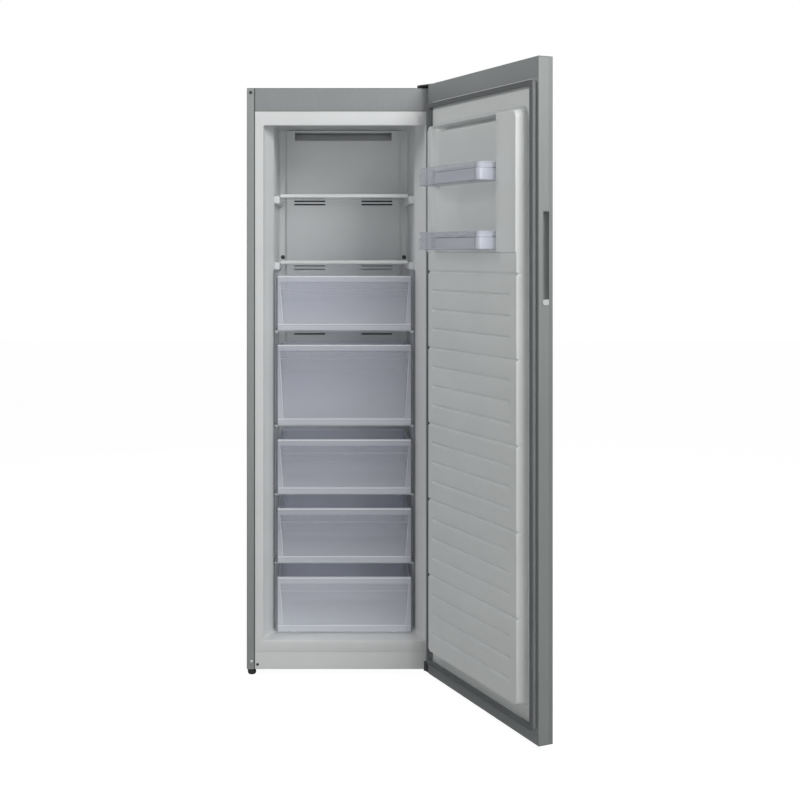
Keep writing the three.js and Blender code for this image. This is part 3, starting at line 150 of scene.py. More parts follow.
def placed(name, data):
    """A new object in the scene."""
    thing = bpy.data.objects.new(name, data)
    bpy.context.scene.collection.objects.link(thing)
    return thing


def piece(name, grids, finish, body, stands_for=None, sharp=30, loop=False):
    """A closed piece from one or more grids of points: quads between the rows, and an end face on
    each grid's first and last row unless the rows join up. Doubles are merged and faces turned
    outwards."""
    points, faces, start = [], [], 0
    for grid in grids:
        rows, columns = grid.shape[:2]
        points.append(grid.reshape(-1, 3))
        faces += (quads(rows, columns, loop) + start).tolist()
        if not loop:
            faces.append(list(range(start + columns - 1, start - 1, -1)))
            faces.append(list(range(start + (rows - 1) * columns, start + rows * columns)))
        start += rows * columns
    mesh = bpy.data.meshes.new(name)
    mesh.from_pydata(np.concatenate(points).tolist(), [], faces)
    work = bmesh.new()
    work.from_mesh(mesh)
    bmesh.ops.remove_doubles(work, verts=work.verts, dist=1e-6)
    bmesh.ops.dissolve_degenerate(work, edges=work.edges, dist=1e-7)
    bmesh.ops.recalc_face_normals(work, faces=work.faces)
    work.to_mesh(mesh)
    work.free()
    mesh.shade_smooth()
    mesh.set_sharp_from_angle(angle=math.radians(sharp))
    mesh.materials.append(finish)
    thing = placed(name, mesh)
    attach(thing, body)
    if stands_for:
        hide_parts(stands_for)


def corner_ring(a0, a1, b0, b1, radius, steps=6):
    """A rectangle with quarter-circle corners, as points anticlockwise from its lower right.
    radius is one number, or four from the lower right round to the lower left."""
    r = np.broadcast_to(np.asarray(radius, float), 4)
    turn = np.linspace(0, np.pi / 2, steps + 1)
    middles = [
        (a1 - r[0], b0 + r[0]), (a1 - r[1], b1 - r[1]),
        (a0 + r[2], b1 - r[2]), (a0 + r[3], b0 + r[3]),
    ]
    starts = [-np.pi / 2, 0, np.pi / 2, np.pi]
    arcs = [
        np.stack([a + q * np.cos(s + turn), b + q * np.sin(s + turn)], -1)
        for (a, b), q, s in zip(middles, r, starts)
    ]
    return np.concatenate(arcs)


def stacked(rings, heights, place):
    """Rings of (a, b) points, each at its own height, put into space by place(a, b, height)."""
    rings = np.stack(rings)
    return place(rings[..., 0], rings[..., 1], np.asarray(heights, float)[:, None])


def back(place):
    """Front-view rings carried along the depth."""
    return lambda a, b, t: place(a, t, b)


def along(place):
    """Side-view rings carried across the width."""
    return lambda a, b, t: place(t, a, b)


def backed(across, face, depth):
    """Places across and depths of a sheet's face, closed behind by a flat back at depth."""
    x = np.broadcast_to(across, face.shape)
    back_y = np.full((len(face), 2), depth)
    return np.concatenate([x, x[:, [-1, 0]]], 1), np.concatenate([face, back_y], 1)


def resampled(ring, count):
    """Points at equal steps along a closed outline."""
    closed = np.concatenate([ring, ring[:1]])
    run = np.r_[0, np.cumsum(np.linalg.norm(np.diff(closed, axis=0), axis=1))]
    at = np.linspace(0, run[-1], count, endpoint=False)
    return np.stack([np.interp(at, run, closed[:, 0]), np.interp(at, run, closed[:, 1])], -1)


def quarter(radius, steps):
    """Insets and rises along a quarter circle that rolls an edge over."""
    turn = np.linspace(0, np.pi / 2, steps)
    return radius * (1 - np.sin(turn)), radius * (1 - np.cos(turn))


def soft_block(a0, a1, b0, b1, t0, t1, corner, edge, place):
    """A block whose rings shrink by a quarter circle of the edge radius at both ends."""
    inset, rise = quarter(edge, 5)
    insets = np.r_[inset, inset[::-1]]
    heights = np.r_[t0 + rise, t1 - rise[::-1]]
    rings = [
        corner_ring(a0 + i, a1 - i, b0 + i, b1 - i, max(corner - i, 0.2), 4) for i in insets
    ]
    return stacked(rings, heights, place)


def tray(rows, a0, a1, b0, b1, corners, steps, count):
    """Plan outlines of a tray, one for each row of (inset, height)."""
    plans = [(a0 + i, a1 - i, b0 + i * 0.3, b1 - i) for i in rows[:, 0]]
    return np.stack([resampled(corner_ring(*plan, corners, steps), count) for plan in plans])


def turned(profile, centre, place, sides):
    """A (radius, height) profile turned about an upright line through centre."""
    profile = np.asarray(profile, float)
    angle = np.linspace(0, 2 * np.pi, sides, endpoint=False)
    a = centre[0] + profile[:, :1] * np.cos(angle)
    b = centre[1] + profile[:, :1] * np.sin(angle)
    return place(a, b, np.broadcast_to(profile[:, 1:], a.shape))


def rounded_profile(points, radius, steps):
    """Each corner of a closed outline replaced by a short curve whose ends lie radius away."""
    p = np.asarray(points, float)
    before, after = np.roll(p, 1, 0) - p, np.roll(p, -1, 0) - p
    la = np.linalg.norm(before, axis=1, keepdims=True)
    lb = np.linalg.norm(after, axis=1, keepdims=True)
    a = p + before / la * np.minimum(radius, la * 0.45)
    b = p + after / lb * np.minimum(radius, lb * 0.45)
    t = np.linspace(0, 1, steps + 1)[None, :, None]
    curve = (1 - t) ** 2 * a[:, None] + 2 * t * (1 - t) * p[:, None] + t**2 * b[:, None]
    return curve.reshape(-1, 2)


def pipe(path, radius):
    """A round section carried along a path, turned to stay square to it. Each of three rounds of
    smoothing cuts every corner at a quarter of its sides."""
    p = np.asarray(path, float)
    for _ in range(3):
        q = p[:-1] * 0.75 + p[1:] * 0.25
        r = p[:-1] * 0.25 + p[1:] * 0.75
        p = np.concatenate([p[:1], np.stack([q, r], 1).reshape(-1, 3), p[-1:]])
    keep = np.r_[True, np.linalg.norm(np.diff(p, axis=0), axis=1) > 1e-6]
    p = p[keep]
    tangent = np.gradient(p, axis=0)
    tangent /= np.linalg.norm(tangent, axis=1, keepdims=True)
    side = np.cross(tangent, [0.123, 0.234, 0.97])
    side /= np.linalg.norm(side, axis=1, keepdims=True)
    over = np.cross(tangent, side)
    angle = np.linspace(0, 2 * np.pi, 12, endpoint=False)
    ring = p[:, None] + radius * (
        side[:, None] * np.cos(angle)[None, :, None] + over[:, None] * np.sin(angle)[None, :, None]
    )
    return in_cabinet(ring[..., 0], ring[..., 1], ring[..., 2])


def ease(t):
    """Smooth step from 0 to 1."""
    t = np.clip(t, 0, 1)
    return t * t * (3 - 2 * t)


def lines(*spans):
    """Sorted grid lines from (start, end, count) spans."""
    every = np.concatenate([np.linspace(a, b, n) for a, b, n in spans])
    return np.unique(np.round(every, 4))


# Finishes

class Number:
    """A number in a node tree. Sums on it make math nodes."""

    def __init__(self, socket):
        self.socket = socket

    def node(self, kind, *inputs, **settings):
        made = joined(self.socket.id_data, kind, enumerate(inputs), **settings)
        return Number(made.outputs[0])

    def calc(self, operation, *inputs):
        return self.node("ShaderNodeMath", *inputs, operation=operation)

    def __add__(self, other):
        return self.calc("ADD", self, other)

    def __sub__(self, other):
        return self.calc("SUBTRACT", self, other)

    def __rsub__(self, other):
        return self.calc("SUBTRACT", other, self)

    def __mul__(self, other):
        return self.calc("MULTIPLY", self, other)

    def __mod__(self, other):
        return self.calc("FLOORED_MODULO", self, other)

    def __abs__(self):
        return self.calc("ABSOLUTE", self)

    def between(self, low_value, high_value, start=0.3, end=0.7):
        """Runs from low_value to high_value as this number runs from start to end."""
        return self.node("ShaderNodeMapRange", self, start, end, low_value, high_value)

    def line(self, middle, value, inner, outer):
        """A soft line: value within inner of the middle, nothing beyond outer."""
        return abs(self - middle).between(value, 0.0, inner, outer)


def largest(first, *others):
    """The largest of several numbers."""
    for other in others:
        first = first.calc("MAXIMUM", first, other)
    return first


def connect(value, place):
    """A fixed value, a number or another node's output into an input."""
    if isinstance(value, Number):
        value = value.socket
    if isinstance(value, bpy.types.NodeSocket):
        place.id_data.links.new(value, place)
    else:
        place.default_value = value


def joined(tree, kind, inputs=(), **settings):
    """A node with its settings and its inputs."""
    made = tree.nodes.new(kind)
    for key, value in settings.items():
        setattr(made, key, value)
    for key, value in dict(inputs).items():
        connect(value, made.inputs[key])
    return made


def new_finish(name):
    """A material with nodes, and the object's own coordinates in it."""
    finish = bpy.data.materials.new(name)
    finish.use_nodes = True
    place = finish.node_tree.nodes.new("ShaderNodeTexCoord")
    return finish, place.outputs["Object"]


def wired(finish, colour, rough, height=None, strength=0.0, distance=0.0, **others):
    """The finish with its shader's inputs, and relief from a height field, in metres."""
    shader = finish.node_tree.nodes["Principled BSDF"]
    inputs = {"Base Color": colour, "Roughness": rough, **others}
    if height:
        bump = {"Height": height, "Strength": strength, "Distance": distance}
        inputs["Normal"] = joined(finish.node_tree, "ShaderNodeBump", bump).outputs[0]
    for key, value in inputs.items():
        connect(value, shader.inputs[key.replace("_", " ")])
    return finish


def noise(where, scale, stretch=(1, 1, 1), detail=4.0):
    """Noise over the object, stretched along its axes."""
    tree = where.id_data
    mapped = joined(tree, "ShaderNodeMapping", {"Vector": where, "Scale": stretch})
    inputs = {"Vector": mapped.outputs[0], "Scale": scale, "Detail": detail, "Roughness": 0.5}
    return Number(joined(tree, "ShaderNodeTexNoise", inputs).outputs["Fac"])


def cells(where, scale):
    """Cell pattern over the object."""
    return joined(where.id_data, "ShaderNodeTexVoronoi", {"Vector": where, "Scale": scale})


def multiplied(colour, factor):
    """A colour times a colour or a number."""
    inputs = {0: 1.0, 6: colour, 7: factor}
    settings = {"data_type": "RGBA", "blend_type": "MULTIPLY"}
    return joined(colour.id_data, "ShaderNodeMix", inputs, **settings).outputs[2]


def colours(fac, *stops):
    """A colour ramp with (place, colour) stops."""
    ramp = joined(fac.socket.id_data, "ShaderNodeValToRGB", {"Fac": fac})
    elements = ramp.color_ramp.elements
    while len(elements) < len(stops):
        elements.new(0.5)
    for element, (place, colour) in zip(elements, stops):
        element.position = place
        element.color = (*colour, 1)
    return ramp.outputs["Color"]


def srgb(value):
    """A colour as it looks on screen, 0 to 255, turned into linear light."""
    c = np.asarray(value, float) / 255
    c = np.where(c <= 0.04045, c / 12.92, ((c + 0.055) / 1.055) ** 2.4)
    return tuple(float(k) for k in c)


def tones(fac, tint, *stops):
    """A ramp of one tint with (place, share of its tone) stops."""
    return colours(fac, *((place, srgb(np.multiply(tint, share))) for place, share in stops))


def steel_paint(name, tint, metallic):
    """Satin grey paint on steel: fine upright grain, soft clouding, and roughness that follows
    the grain."""
    finish, where = new_finish(name)
    grain = noise(where, 700.0, (1, 1, 0.02), 3.0)
    cloud = noise(where, 3.0, (1, 1, 0.6), 2.0)
    fine = colours(grain, (0.35, (0.93, 0.93, 0.93)), (0.65, (1.0, 1.0, 1.0)))
    colour = multiplied(tones(cloud, tint, (0.3, 0.975), (0.7, 1.02)), fine)
    rough = grain.between(0.42, 0.52)
    return wired(finish, colour, rough, grain, 0.05, 0.0002, Metallic=metallic)


def painted_gap_shade(where):
    """Share of its tone that the room's wall keeps, as painted shade: darker in the narrow gap beside
    the drawers, from just behind the flare and up to the ledges of the lower shelf."""
    x, y, z = from_cabinet(where)
    near = y.between(0.0, 1.0, 62.0, 74.0) * y.between(1.0, 0.0, 110.0, 160.0)
    near = near * z.between(1.0, 0.0, 1228.0, 1236.0)
    return abs(x).between(0.0, 1.0, 213.0, 217.0) * near * -0.62 + 1.0


def moulded(
    name, tint, rough=(0.32, 0.42), pebble=900.0, relief=0.04, shade=0.985, coat=0.0, kept=None,
):
    """Injection-moulded plastic: very slight mottling, a fine pebble, and uneven gloss.
    kept(where), if given, is the share of the tone that stays, for painted shade."""
    finish, where = new_finish(name)
    mottle = noise(where, 6.0, detail=3.0)
    colour = tones(mottle, tint, (0.35, shade), (0.65, 1.0))
    if kept:
        colour = multiplied(colour, kept(where))
    skin = noise(where, pebble, detail=2.0)
    return wired(finish, colour, mottle.between(*rough), skin, relief, 0.0003, Coat_Weight=coat)


def let_through(opacity, kept):
    """Opacity as it is seen, but only a share of it held against the light that goes on inside."""
    path = joined(opacity.socket.id_data, "ShaderNodeLightPath")
    return opacity * Number(path.outputs["Is Shadow Ray"]).between(1.0, kept, 0.0, 1.0)


def clear_plastic(name, tint, bright, body, dense, share):
    """Translucent tinted plastic. share(where) gives how far each spot belongs to the thick, pale
    rims and to painted highlights and painted light: there the tint turns to bright and the opacity
    goes from body to dense. Below nought lie dark lines of painted shade. Much of the light goes on
    through to what is inside."""
    finish, where = new_finish(name)
    # share of thickness, painted highlights and painted light; below nought, painted shade
    thick = share(where)
    flow = noise(where, 9.0, (0.5, 1, 2.0), 2.0)
    # colour of the painted shade lines, for shares below nought
    dark = [c * 0.34 for c in srgb(tint)]
    place = flow * 0.04 + (thick * 0.74 + 0.24)
    colour = colours(place, (0.04, dark), (0.24, srgb(tint)), (1.0, srgb(bright)))
    opacity = thick.between(body, dense, 0.0, 1.0)
    opacity = largest(opacity, thick.between(dense, body, -0.2, 0.0))
    rough, alpha = flow.between(0.16, 0.26), let_through(opacity, 0.2)
    waves = noise(where, 8.0, detail=0.0)
    return wired(finish, colour, rough, waves, 0.05, 0.0004, Alpha=alpha)


def in_millimetres(where):
    """The shared frame's x, y and z in millimetres."""
    split = joined(where.id_data, "ShaderNodeSeparateXYZ", {"Vector": where})
    return [Number(output) * (1 / MM) for output in split.outputs]


def from_cabinet(where):
    """The cabinet's own x, y and z in millimetres, as in_cabinet has them."""
    x, y, z = in_millimetres(where)
    return x - MIDDLE_X / MM, y - FRONT_Y / MM, z


def from_door(where):
    """The door's own u, v and z in millimetres, as in_door has them."""
    x, y, z = in_millimetres(where)
    a, b = x - pin[0] / MM, y - pin[1] / MM
    c, s = math.cos(DOOR_OPEN), math.sin(DOOR_OPEN)
    return a * c + b * s + PIN_U, b * c - a * s - PIN_AHEAD, z


def panel_thickness_and_light(seat, height, where):
    """Thick parts of a drawer's front panel, with painted light on them. Thick: the rail and the faint
    line under it, the foot, and side borders that widen downwards. Painted highlights: the rim line
    along the top, a bright line along the foot's top and a bright inner edge on each side border.
    Painted light: the body and the side borders pale downwards. Painted shade: a dark line at each
    outer edge, in the gap beside the drawer."""
    x, _, z = from_cabinet(where)
    fall = seat + height + DRAWER_CLEAR - z
    from_side = DRAWER_HALF - abs(x)
    inside = from_side - (fall * (BORDER_FLARE / height) + BORDER)
    # painted light: the body pales downwards
    low = fall.between(0.0, 1.0, 50.0, height - 20.0)
    # painted highlight along the inner edge of each side border
    ridge = inside.line(0.0, 0.62, 0.6, 2.4) * fall.between(0.5, 1.0, 20.0, 80.0)
    side = inside.between(1.0, 0.0, -3.0, 2.0) * (low * 0.3 + 0.2)
    # painted highlight: the bright rim line along the top
    rim = fall.between(1.0, 0.0, 3.2, 4.6)
    rail = fall.between(0.34, 0.0, 19.0, 22.0)
    step = fall.line(42.0, 0.26, 0.6, 2.2)
    foot = fall.between(0.0, 0.55, height - 17.0, height - 14.0)
    # painted highlight: the bright line along the foot's top
    lip = fall.line(height - 18.0, 0.9, 0.7, 2.6)
    # painted shade: dark line at the outer edge, in the gap beside the drawer
    seam = from_side.between(1.5, 0.0, 3.6, 5.0)
    return largest(low * 0.28, ridge, side, rim, rail, step, foot, lip) - seam


def tub_share(seat, height, where):
    """Thick parts of a tub: the rolled rim and the bottom."""
    fall = seat + height - TUB_DROP + DRAWER_CLEAR - from_cabinet(where)[2]
    rim = fall.between(0.75, 0.0, 5.0, 9.0)
    return largest(rim, fall.between(0.0, 0.5, height - 22.0, height - 17.0))


def rack_thickness_and_shade(where):
    """Thick parts of a door rack: its free end, its foot bead, the edge of its rim and the raised
    panel of its front, less painted shade: dark lines at the end's corner, under the rim and at the base."""
    u, v, z = from_door(where)
    rise = (z - RACKS[1]) % (RACKS[0] - RACKS[1])
    end = u.between(1.0, 0.0, 169.5, 171.0) * v.between(0.15, 0.8, 42.0, 47.0)
    rim = rise.between(0.0, 0.6, 48.6, 49.6)
    foot = rise.between(0.45, 0.0, 3.6, 5.0)
    panel = u.between(0.34, 0.0, 386.0, 392.0) * rise.between(1.0, 0.0, 32.0, 33.0)
    # painted shade: dark lines at the end's corner, under the rim and at the base
    corner = u.line(171.5, 1.6, 0.9, 1.5)
    under_rim_shade = rise.line(34.2, 0.5, 0.7, 1.6) * u.between(1.0, 0.0, 388.0, 396.0)
    base = rise.between(0.7, 0.0, 1.0, 1.8)
    return largest(end, rim, foot, panel) - largest(corner, under_rim_shade, base)


def sheet_glass(name, body, edge, front=None):
    """Clear glass that greens and thickens towards grazing view, with faint smears in its gloss;
    front is the depth of a ground front edge that catches the light."""
    finish, where = new_finish(name)
    weight = joined(where.id_data, "ShaderNodeLayerWeight", {"Blend": 0.35})
    facing = Number(weight.outputs["Facing"])
    opacity = facing.between(0.09, 0.4, 0.3, 1.0)
    if front is not None:
        depth = from_cabinet(where)[1]
        opacity = largest(opacity, depth.between(0.5, 0.0, front + 0.5, front + 1.5))
    colour = colours(facing, (0.0, srgb(body)), (1.0, srgb(edge)))
    rough = noise(where, 9.0, detail=5.0).between(0.03, 0.12)
    return wired(finish, colour, rough, Alpha=let_through(opacity, 0.3), IOR=1.5)


def rubbery(name, tint, pale):
    """Matt soft seal: dusty mottling and a fine grain, dark at its foot and on its lip, with a
    paler crease between them."""
    finish, where = new_finish(name)
    dust = noise(where, 40.0, (1, 1, 0.3), 5.0)
    v = from_door(where)[1]
    below_lip = v.between(0.42, 0.0, 8.6, 9.6)
    crease = v.between(0.0, 0.3, 5.5, 7.6) * below_lip
    place = dust * 0.2 + below_lip + crease
    colour = colours(place, (0.05, srgb(tint)), (0.6, srgb(pale)))
    grain = noise(where, 800.0, detail=2.0)
    return wired(finish, colour, dust.between(0.62, 0.8), grain, 0.1, 0.0003)


def bare_metal(name, tint, metallic, rough, spangle):
    """Bare metal: crystal patches of slightly different tone and gloss."""
    finish, where = new_finish(name)
    patch = {"Color": cells(where, spangle).outputs["Color"]}
    tone = Number(joined(finish.node_tree, "ShaderNodeSeparateColor", patch).outputs[0])
    colour = tones(tone, tint, (0.0, 0.97), (1.0, 1.03))
    rough, skin = tone.between(*rough, 0.0, 1.0), noise(where, 300.0, detail=3.0)
    return wired(finish, colour, rough, skin, 0.05, 0.0003, Metallic=metallic)


def foamed(name, tint):
    """Rigid foam: small cells, yellowed unevenly."""
    finish, where = new_finish(name)
    age = noise(where, 8.0)
    colour, pores = tones(age, tint, (0.3, 0.9), (0.7, 1.0)), cells(where, 900.0)
    return wired(finish, colour, age.between(0.85, 0.95), pores.outputs["Distance"], 0.4, 0.0006)


SHELL = steel_paint("satin_grey_steel", (153, 157, 156), 0.25)
BAND = steel_paint("grey_band", (146, 149, 150), 0.12)
DOOR_FRONT = steel_paint("door_front_steel", (140, 144, 143), 0.25)
DOOR_EDGE = steel_paint("door_edge_steel", (148, 152, 151), 0.25)
DOOR_INSIDE = steel_paint("door_border_steel", (136, 140, 140), 0.12)
WHITE = moulded("white_frame_plastic", (236, 238, 237), coat=0.1)
# the room's plastic carries painted shade in the narrow gap beside the drawers
ROOM = moulded("white_room_plastic", (232, 234, 234), (0.35, 0.5), kept=painted_gap_shade)
COVER = moulded("cover_plastic", (226, 228, 229), (0.4, 0.55), 700.0, 0.06)
DOOR_WHITE = moulded("door_liner_plastic", (228, 231, 230), (0.3, 0.42), 800.0, 0.05)
GRIP = moulded("grip_cup_plastic", (150, 154, 153), (0.4, 0.55), 600.0, 0.06, 0.95)
# painted highlight: a paler copy of the grip's plastic for the up-facing rest at the pocket's foot
GRIP_LIT = moulded("grip_rest_lit_plastic", (206, 208, 208), (0.3, 0.42), 600.0, 0.04)
HINGE = steel_paint("grey_hinge_paint", (92, 95, 96), 0.2)
BLACK = moulded("black_plastic", (38, 39, 41), (0.45, 0.6), 600.0, 0.1, 0.85)
DARK_PLUG = moulded("dark_plug_plastic", (62, 64, 66), (0.5, 0.6), 600.0, 0.08, 0.9)
JOINT = moulded("joint_strip_plastic", (84, 86, 87), (0.55, 0.7), 500.0, 0.05, 0.93)
# dark sheet behind the vent rows: painted shade
VENT_SHADE = moulded("vent_shade_plastic", (44, 46, 48), (0.6, 0.75), 600.0, 0.06, 0.92)
GUIDE = moulded("air_guide_plastic", (206, 208, 210), (0.6, 0.75), 600.0, 0.06, 0.95)
LACQUER = moulded("black_lacquer", (44, 45, 47), (0.3, 0.42), 250.0, 0.12, 0.9, 0.2)
GLASS = sheet_glass("shelf_glass", (226, 232, 231), (170, 186, 182))
DIVIDER = sheet_glass("divider_glass", (214, 220, 222), (160, 170, 172), 60.0)
SEAL = rubbery("seal_rubber", (90, 93, 94), (154, 157, 158))
ZINC = bare_metal("zinc_sheet", (186, 188, 186), 0.6, (0.42, 0.52), 130.0)
ALLOY = bare_metal("mill_aluminium", (205, 207, 209), 0.9, (0.25, 0.4), 150.0)
COPPER = bare_metal("copper_pipe", (198, 128, 92), 0.95, (0.25, 0.4), 300.0)
FOAM = foamed("insulation_foam", (226, 214, 168))
RACK = clear_plastic("rack_plastic", (200, 203, 213), (222, 225, 236), 0.30, 0.60, rack_thickness_and_shade)
# painted light: the bottom drawer's panel takes a paler copy of the same tint
PANEL_TINTS = ((196, 199, 212),) * 4 + ((238, 241, 251),)
PANEL_BRIGHT, TUB_TINT, TUB_BRIGHT = (248, 250, 255), (228, 232, 246), (238, 241, 250)
PANELS, TUBS = [], []
for n, (tint, *place) in enumerate(zip(PANEL_TINTS, SUPPORTS, DRAWER_HEIGHTS), 1):
    share = partial(panel_thickness_and_light, *place)
    PANELS.append(clear_plastic(f"drawer_plastic_{n}", tint, PANEL_BRIGHT, 0.34, 0.78, share))
    share = partial(tub_share, *place)
    TUBS.append(clear_plastic(f"tub_plastic_{n}", TUB_TINT, TUB_BRIGHT, 0.46, 0.66, share))

BY_SLOT = {
    "steel_shell": SHELL, "band": BAND, "zinc": ZINC, "black_metal": LACQUER, "liner": WHITE,
    "foam": FOAM, "black_plastic": BLACK, "aluminium": ALLOY, "clear_glass": GLASS,
    "drawer_plastic": RACK, "seal": SEAL,
}
BY_NODE = {
    "evaporator_cover": COVER, "door_skin": DOOR_FRONT, "door_edge_free": DOOR_EDGE,
    "door_edge_hinge": DOOR_INSIDE, "door_top_cap": DOOR_INSIDE, "door_bottom_cap": DOOR_INSIDE,
    "lower_hinge_bracket": HINGE, "lower_hinge_bush": HINGE,
}
BY_NODE |= {f"divider_glass_{number}": DIVIDER for number in range(1, len(SUPPORTS))}


def dress_solids():
    """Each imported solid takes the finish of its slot, or its own."""
    for row in frame["record"]["subparts"]:
        mesh = frame["nodes"][row["node"]].data
        mesh.materials.clear()
        mesh.materials.append(BY_NODE.get(row["node"], BY_SLOT[row["material_slot"]]))


# Cabinet

def side_panel(name, side):
    """Steel side as a plan outline carried up the cabinet: outer wall, rounded front edge and
    front flange, one sheet thick. A dark joint strip fills the gap beside the flange."""
    inner = SIDE_HALF - SHEET
    outline = [
        (SIDE_HALF, SIDE_BACK), (SIDE_HALF, 0.0), (FLANGE_INNER, 0.0),
        (FLANGE_INNER, SHEET), (inner, SHEET), (inner, SIDE_BACK),
    ]
    ring = rounded_profile(outline, 3.0, 5) * [side, 1]
    hem = 0.6
    rows = [SIDE_BOTTOM, SIDE_BOTTOM + hem, 600.0, 1200.0, SIDE_TOP - hem, SIDE_TOP]
    grid = stacked([ring] * len(rows), rows, in_cabinet)
    piece(f"{name}_side", [grid], SHELL, "cabinet", f"{name}_side_panel", sharp=50)
    across = sorted((side * (FRONT_HALF + 0.1), side * (FLANGE_INNER + 0.1)))
    up = (SIDE_BOTTOM + 0.5, SIDE_TOP - 0.2)
    strip = soft_block(*across, 1.2, 2.0, *up, 0.3, 0.2, in_cabinet)
    piece(f"{name}_joint", [strip], JOINT, "cabinet")


def top_panel():
    """Steel top with soft corners, and the band across the front with rolled long edges."""
    plan = (-SIDE_HALF, SIDE_HALF, 0.0, BODY_BACK)
    sheet = soft_block(*plan, BODY_TOP - SHEET, BODY_TOP, 2.5, 0.4, in_cabinet)
    out, rise = quarter(1.6, 6)
    z = np.r_[FRAME_TOP + 0.7 + rise, SIDE_TOP + 0.1 - rise[::-1]]
    y = np.r_[out, out[::-1]]
    ends = FRONT_HALF - np.array([0.0, 0.4, 1.2])
    rounding = np.array([0.6, 0.15, 0.0])
    x = np.r_[-ends, np.linspace(-260, 260, 9), ends[::-1]]
    side = np.r_[rounding, np.zeros(9), rounding[::-1]]
    face = np.maximum(y[:, None], side[None, :])
    band = in_cabinet(*backed(x, face, FRONT_PLATE), z[:, None])
    piece("top_and_band", [sheet, band], BAND, "cabinet", "top_cover", sharp=50)


def plinth():
    """Strip under the mouth with rolled long edges."""
    face = (-FRONT_HALF, FRONT_HALF, SIDE_BOTTOM + 0.2, FRAME_BOTTOM - 0.4)
    grid = soft_block(*face, 0.0, FRONT_PLATE, 1.0, 0.6, back(in_cabinet))
    piece("plinth_strip", [grid], WHITE, "cabinet", "plinth")


def duct():
    """Board behind the vents with a dark sheet at two rows of them, painted shade behind the slots,
    and a curved guide that turns the air out of the top slot."""
    front, thickness, half = 411.5, 1.5, 183.0
    across = (-half, half)
    board = soft_block(*across, 322.0, 1650.0, front, front + thickness, 2, 0.4, back(in_cabinet))
    piece("duct_board", [board], COVER, "cabinet")
    across = (-half + 3, half - 3)
    for row, z in (("upper", 1453.6), ("middle", 1018.0)):
        # painted shade: a dark sheet right behind the vent slots
        screen = soft_block(*across, z - 14, z + 14, 409.0, 411.0, 2, 0.4, back(in_cabinet))
        piece(f"{row}_vent_shade_sheet", [screen], VENT_SHADE, "cabinet")
    t = np.linspace(0, 1, 12)
    bend = 26 * t**2
    y = front + np.r_[bend, (thickness + bend)[::-1]]
    z = 1652.0 + 37 * np.r_[t, t[::-1]]
    x = np.linspace(-176, 176, 9)
    piece("air_guide", [in_cabinet(x[:, None], y, z)], GUIDE, "cabinet", sharp=60)


def liner():
    """The moulded liner as one closed shell: rings from the front frame's outer edge over the
    mouth, down the neck and flare, along the room and round its back corners, in to the
    evaporator chamber and its back, then the same way out again one wall further out."""
    wall, lip, draft, corner = 2.0, 3.0, 2.5, 11.0

    def ring(half, bottom, top, radius):
        return corner_ring(-half, half, bottom, top, radius, 8)

    def grown(size, by):
        half, bottom, top = size
        return half + by, bottom - by, top + by

    frame_edge = (FRONT_HALF, FRAME_BOTTOM, FRAME_TOP)
    mouth = (MOUTH_HALF, MOUTH_BOTTOM, MOUTH_TOP)
    neck = (MOUTH_HALF - draft, MOUTH_BOTTOM + draft, MOUTH_TOP + draft)
    room = (ROOM_HALF, ROOM_FLOOR, ROOM_CEILING)
    chamber = (CHAMBER_HALF, CHAMBER_FLOOR, CHAMBER_TOP)

    steps = [(ring(*frame_edge, 0.3), wall), (ring(*frame_edge, 0.3), 0.8)]
    steps += [(ring(*grown(frame_edge, -cut), 0.3), y) for cut, y in ((0.25, 0.25), (0.8, 0.0))]
    steps += [(ring(*grown(mouth, out), 4 + out), y) for out, y in zip(*quarter(lip, 6))]
    steps += [
        (ring(*neck, 6), 24.0),
        (ring(neck[0] - 1.6, neck[1] + 0.4, neck[2] + 1.6, 7), 27.5),
        (ring(room[0] + 1.6, room[1] - 0.3, room[2] - 1.5, 13.5), 66.5),
        (ring(*room, 14), 71.0),
        (ring(*room, 14), ROOM_BACK - corner),
    ]
    for rise, inset in list(zip(*quarter(corner, 6)))[1:]:
        size = (room[0] - inset, room[1] + inset, room[2] - inset / 4)
        steps.append((ring(*size, 14), ROOM_BACK - rise))
    steps += [(ring(*chamber, 6), ROOM_BACK), (ring(*chamber, 6), CHAMBER_BACK)]
    steps += [
        (ring(*grown(chamber, wall), 6), CHAMBER_BACK + wall),
        (ring(*grown(chamber, wall), 6), ROOM_BACK + wall),
        (ring(*grown(room, wall), 15), ROOM_BACK + wall),
        (ring(*grown(room, wall), 15), 70.0),
        (ring(*grown(neck, wall), 8), 24.0),
        (ring(MOUTH_HALF + wall + 0.3, MOUTH_BOTTOM - wall, MOUTH_TOP + wall, 7), wall),
    ]
    grid = stacked(*zip(*steps), back(in_cabinet))
    piece("liner_shell", [grid], ROOM, "cabinet", "inner_liner", sharp=38, loop=True)


def ledges():
    """Moulded ledges on both side walls: soft blocks under the shelves and drawer dividers, and
    two low runners on the floor."""
    inside_wall = ROOM_HALF + 1
    blocks = []
    for side in (-1, 1):
        across = sorted((side * 201.0, side * inside_wall))
        for top in SHELVES:
            z = top - 5.3
            blocks.append(soft_block(*across, z - 24, z, 98, 396, 5, 2.5, back(in_cabinet)))
        across = sorted((side * 205.5, side * inside_wall))
        for seat in SUPPORTS[:-1]:
            z = seat - 4.4
            blocks.append(soft_block(*across, z - 7, z, 84, 396, 3, 3, back(in_cabinet)))
        across = sorted((side * 150.0, side * 162.0))
        up = (ROOM_FLOOR - 1, SUPPORTS[-1])
        blocks.append(soft_block(*across, *up, 60, 395, 2, 1.5, back(in_cabinet)))
    piece("liner_ledges", blocks, ROOM, "cabinet")


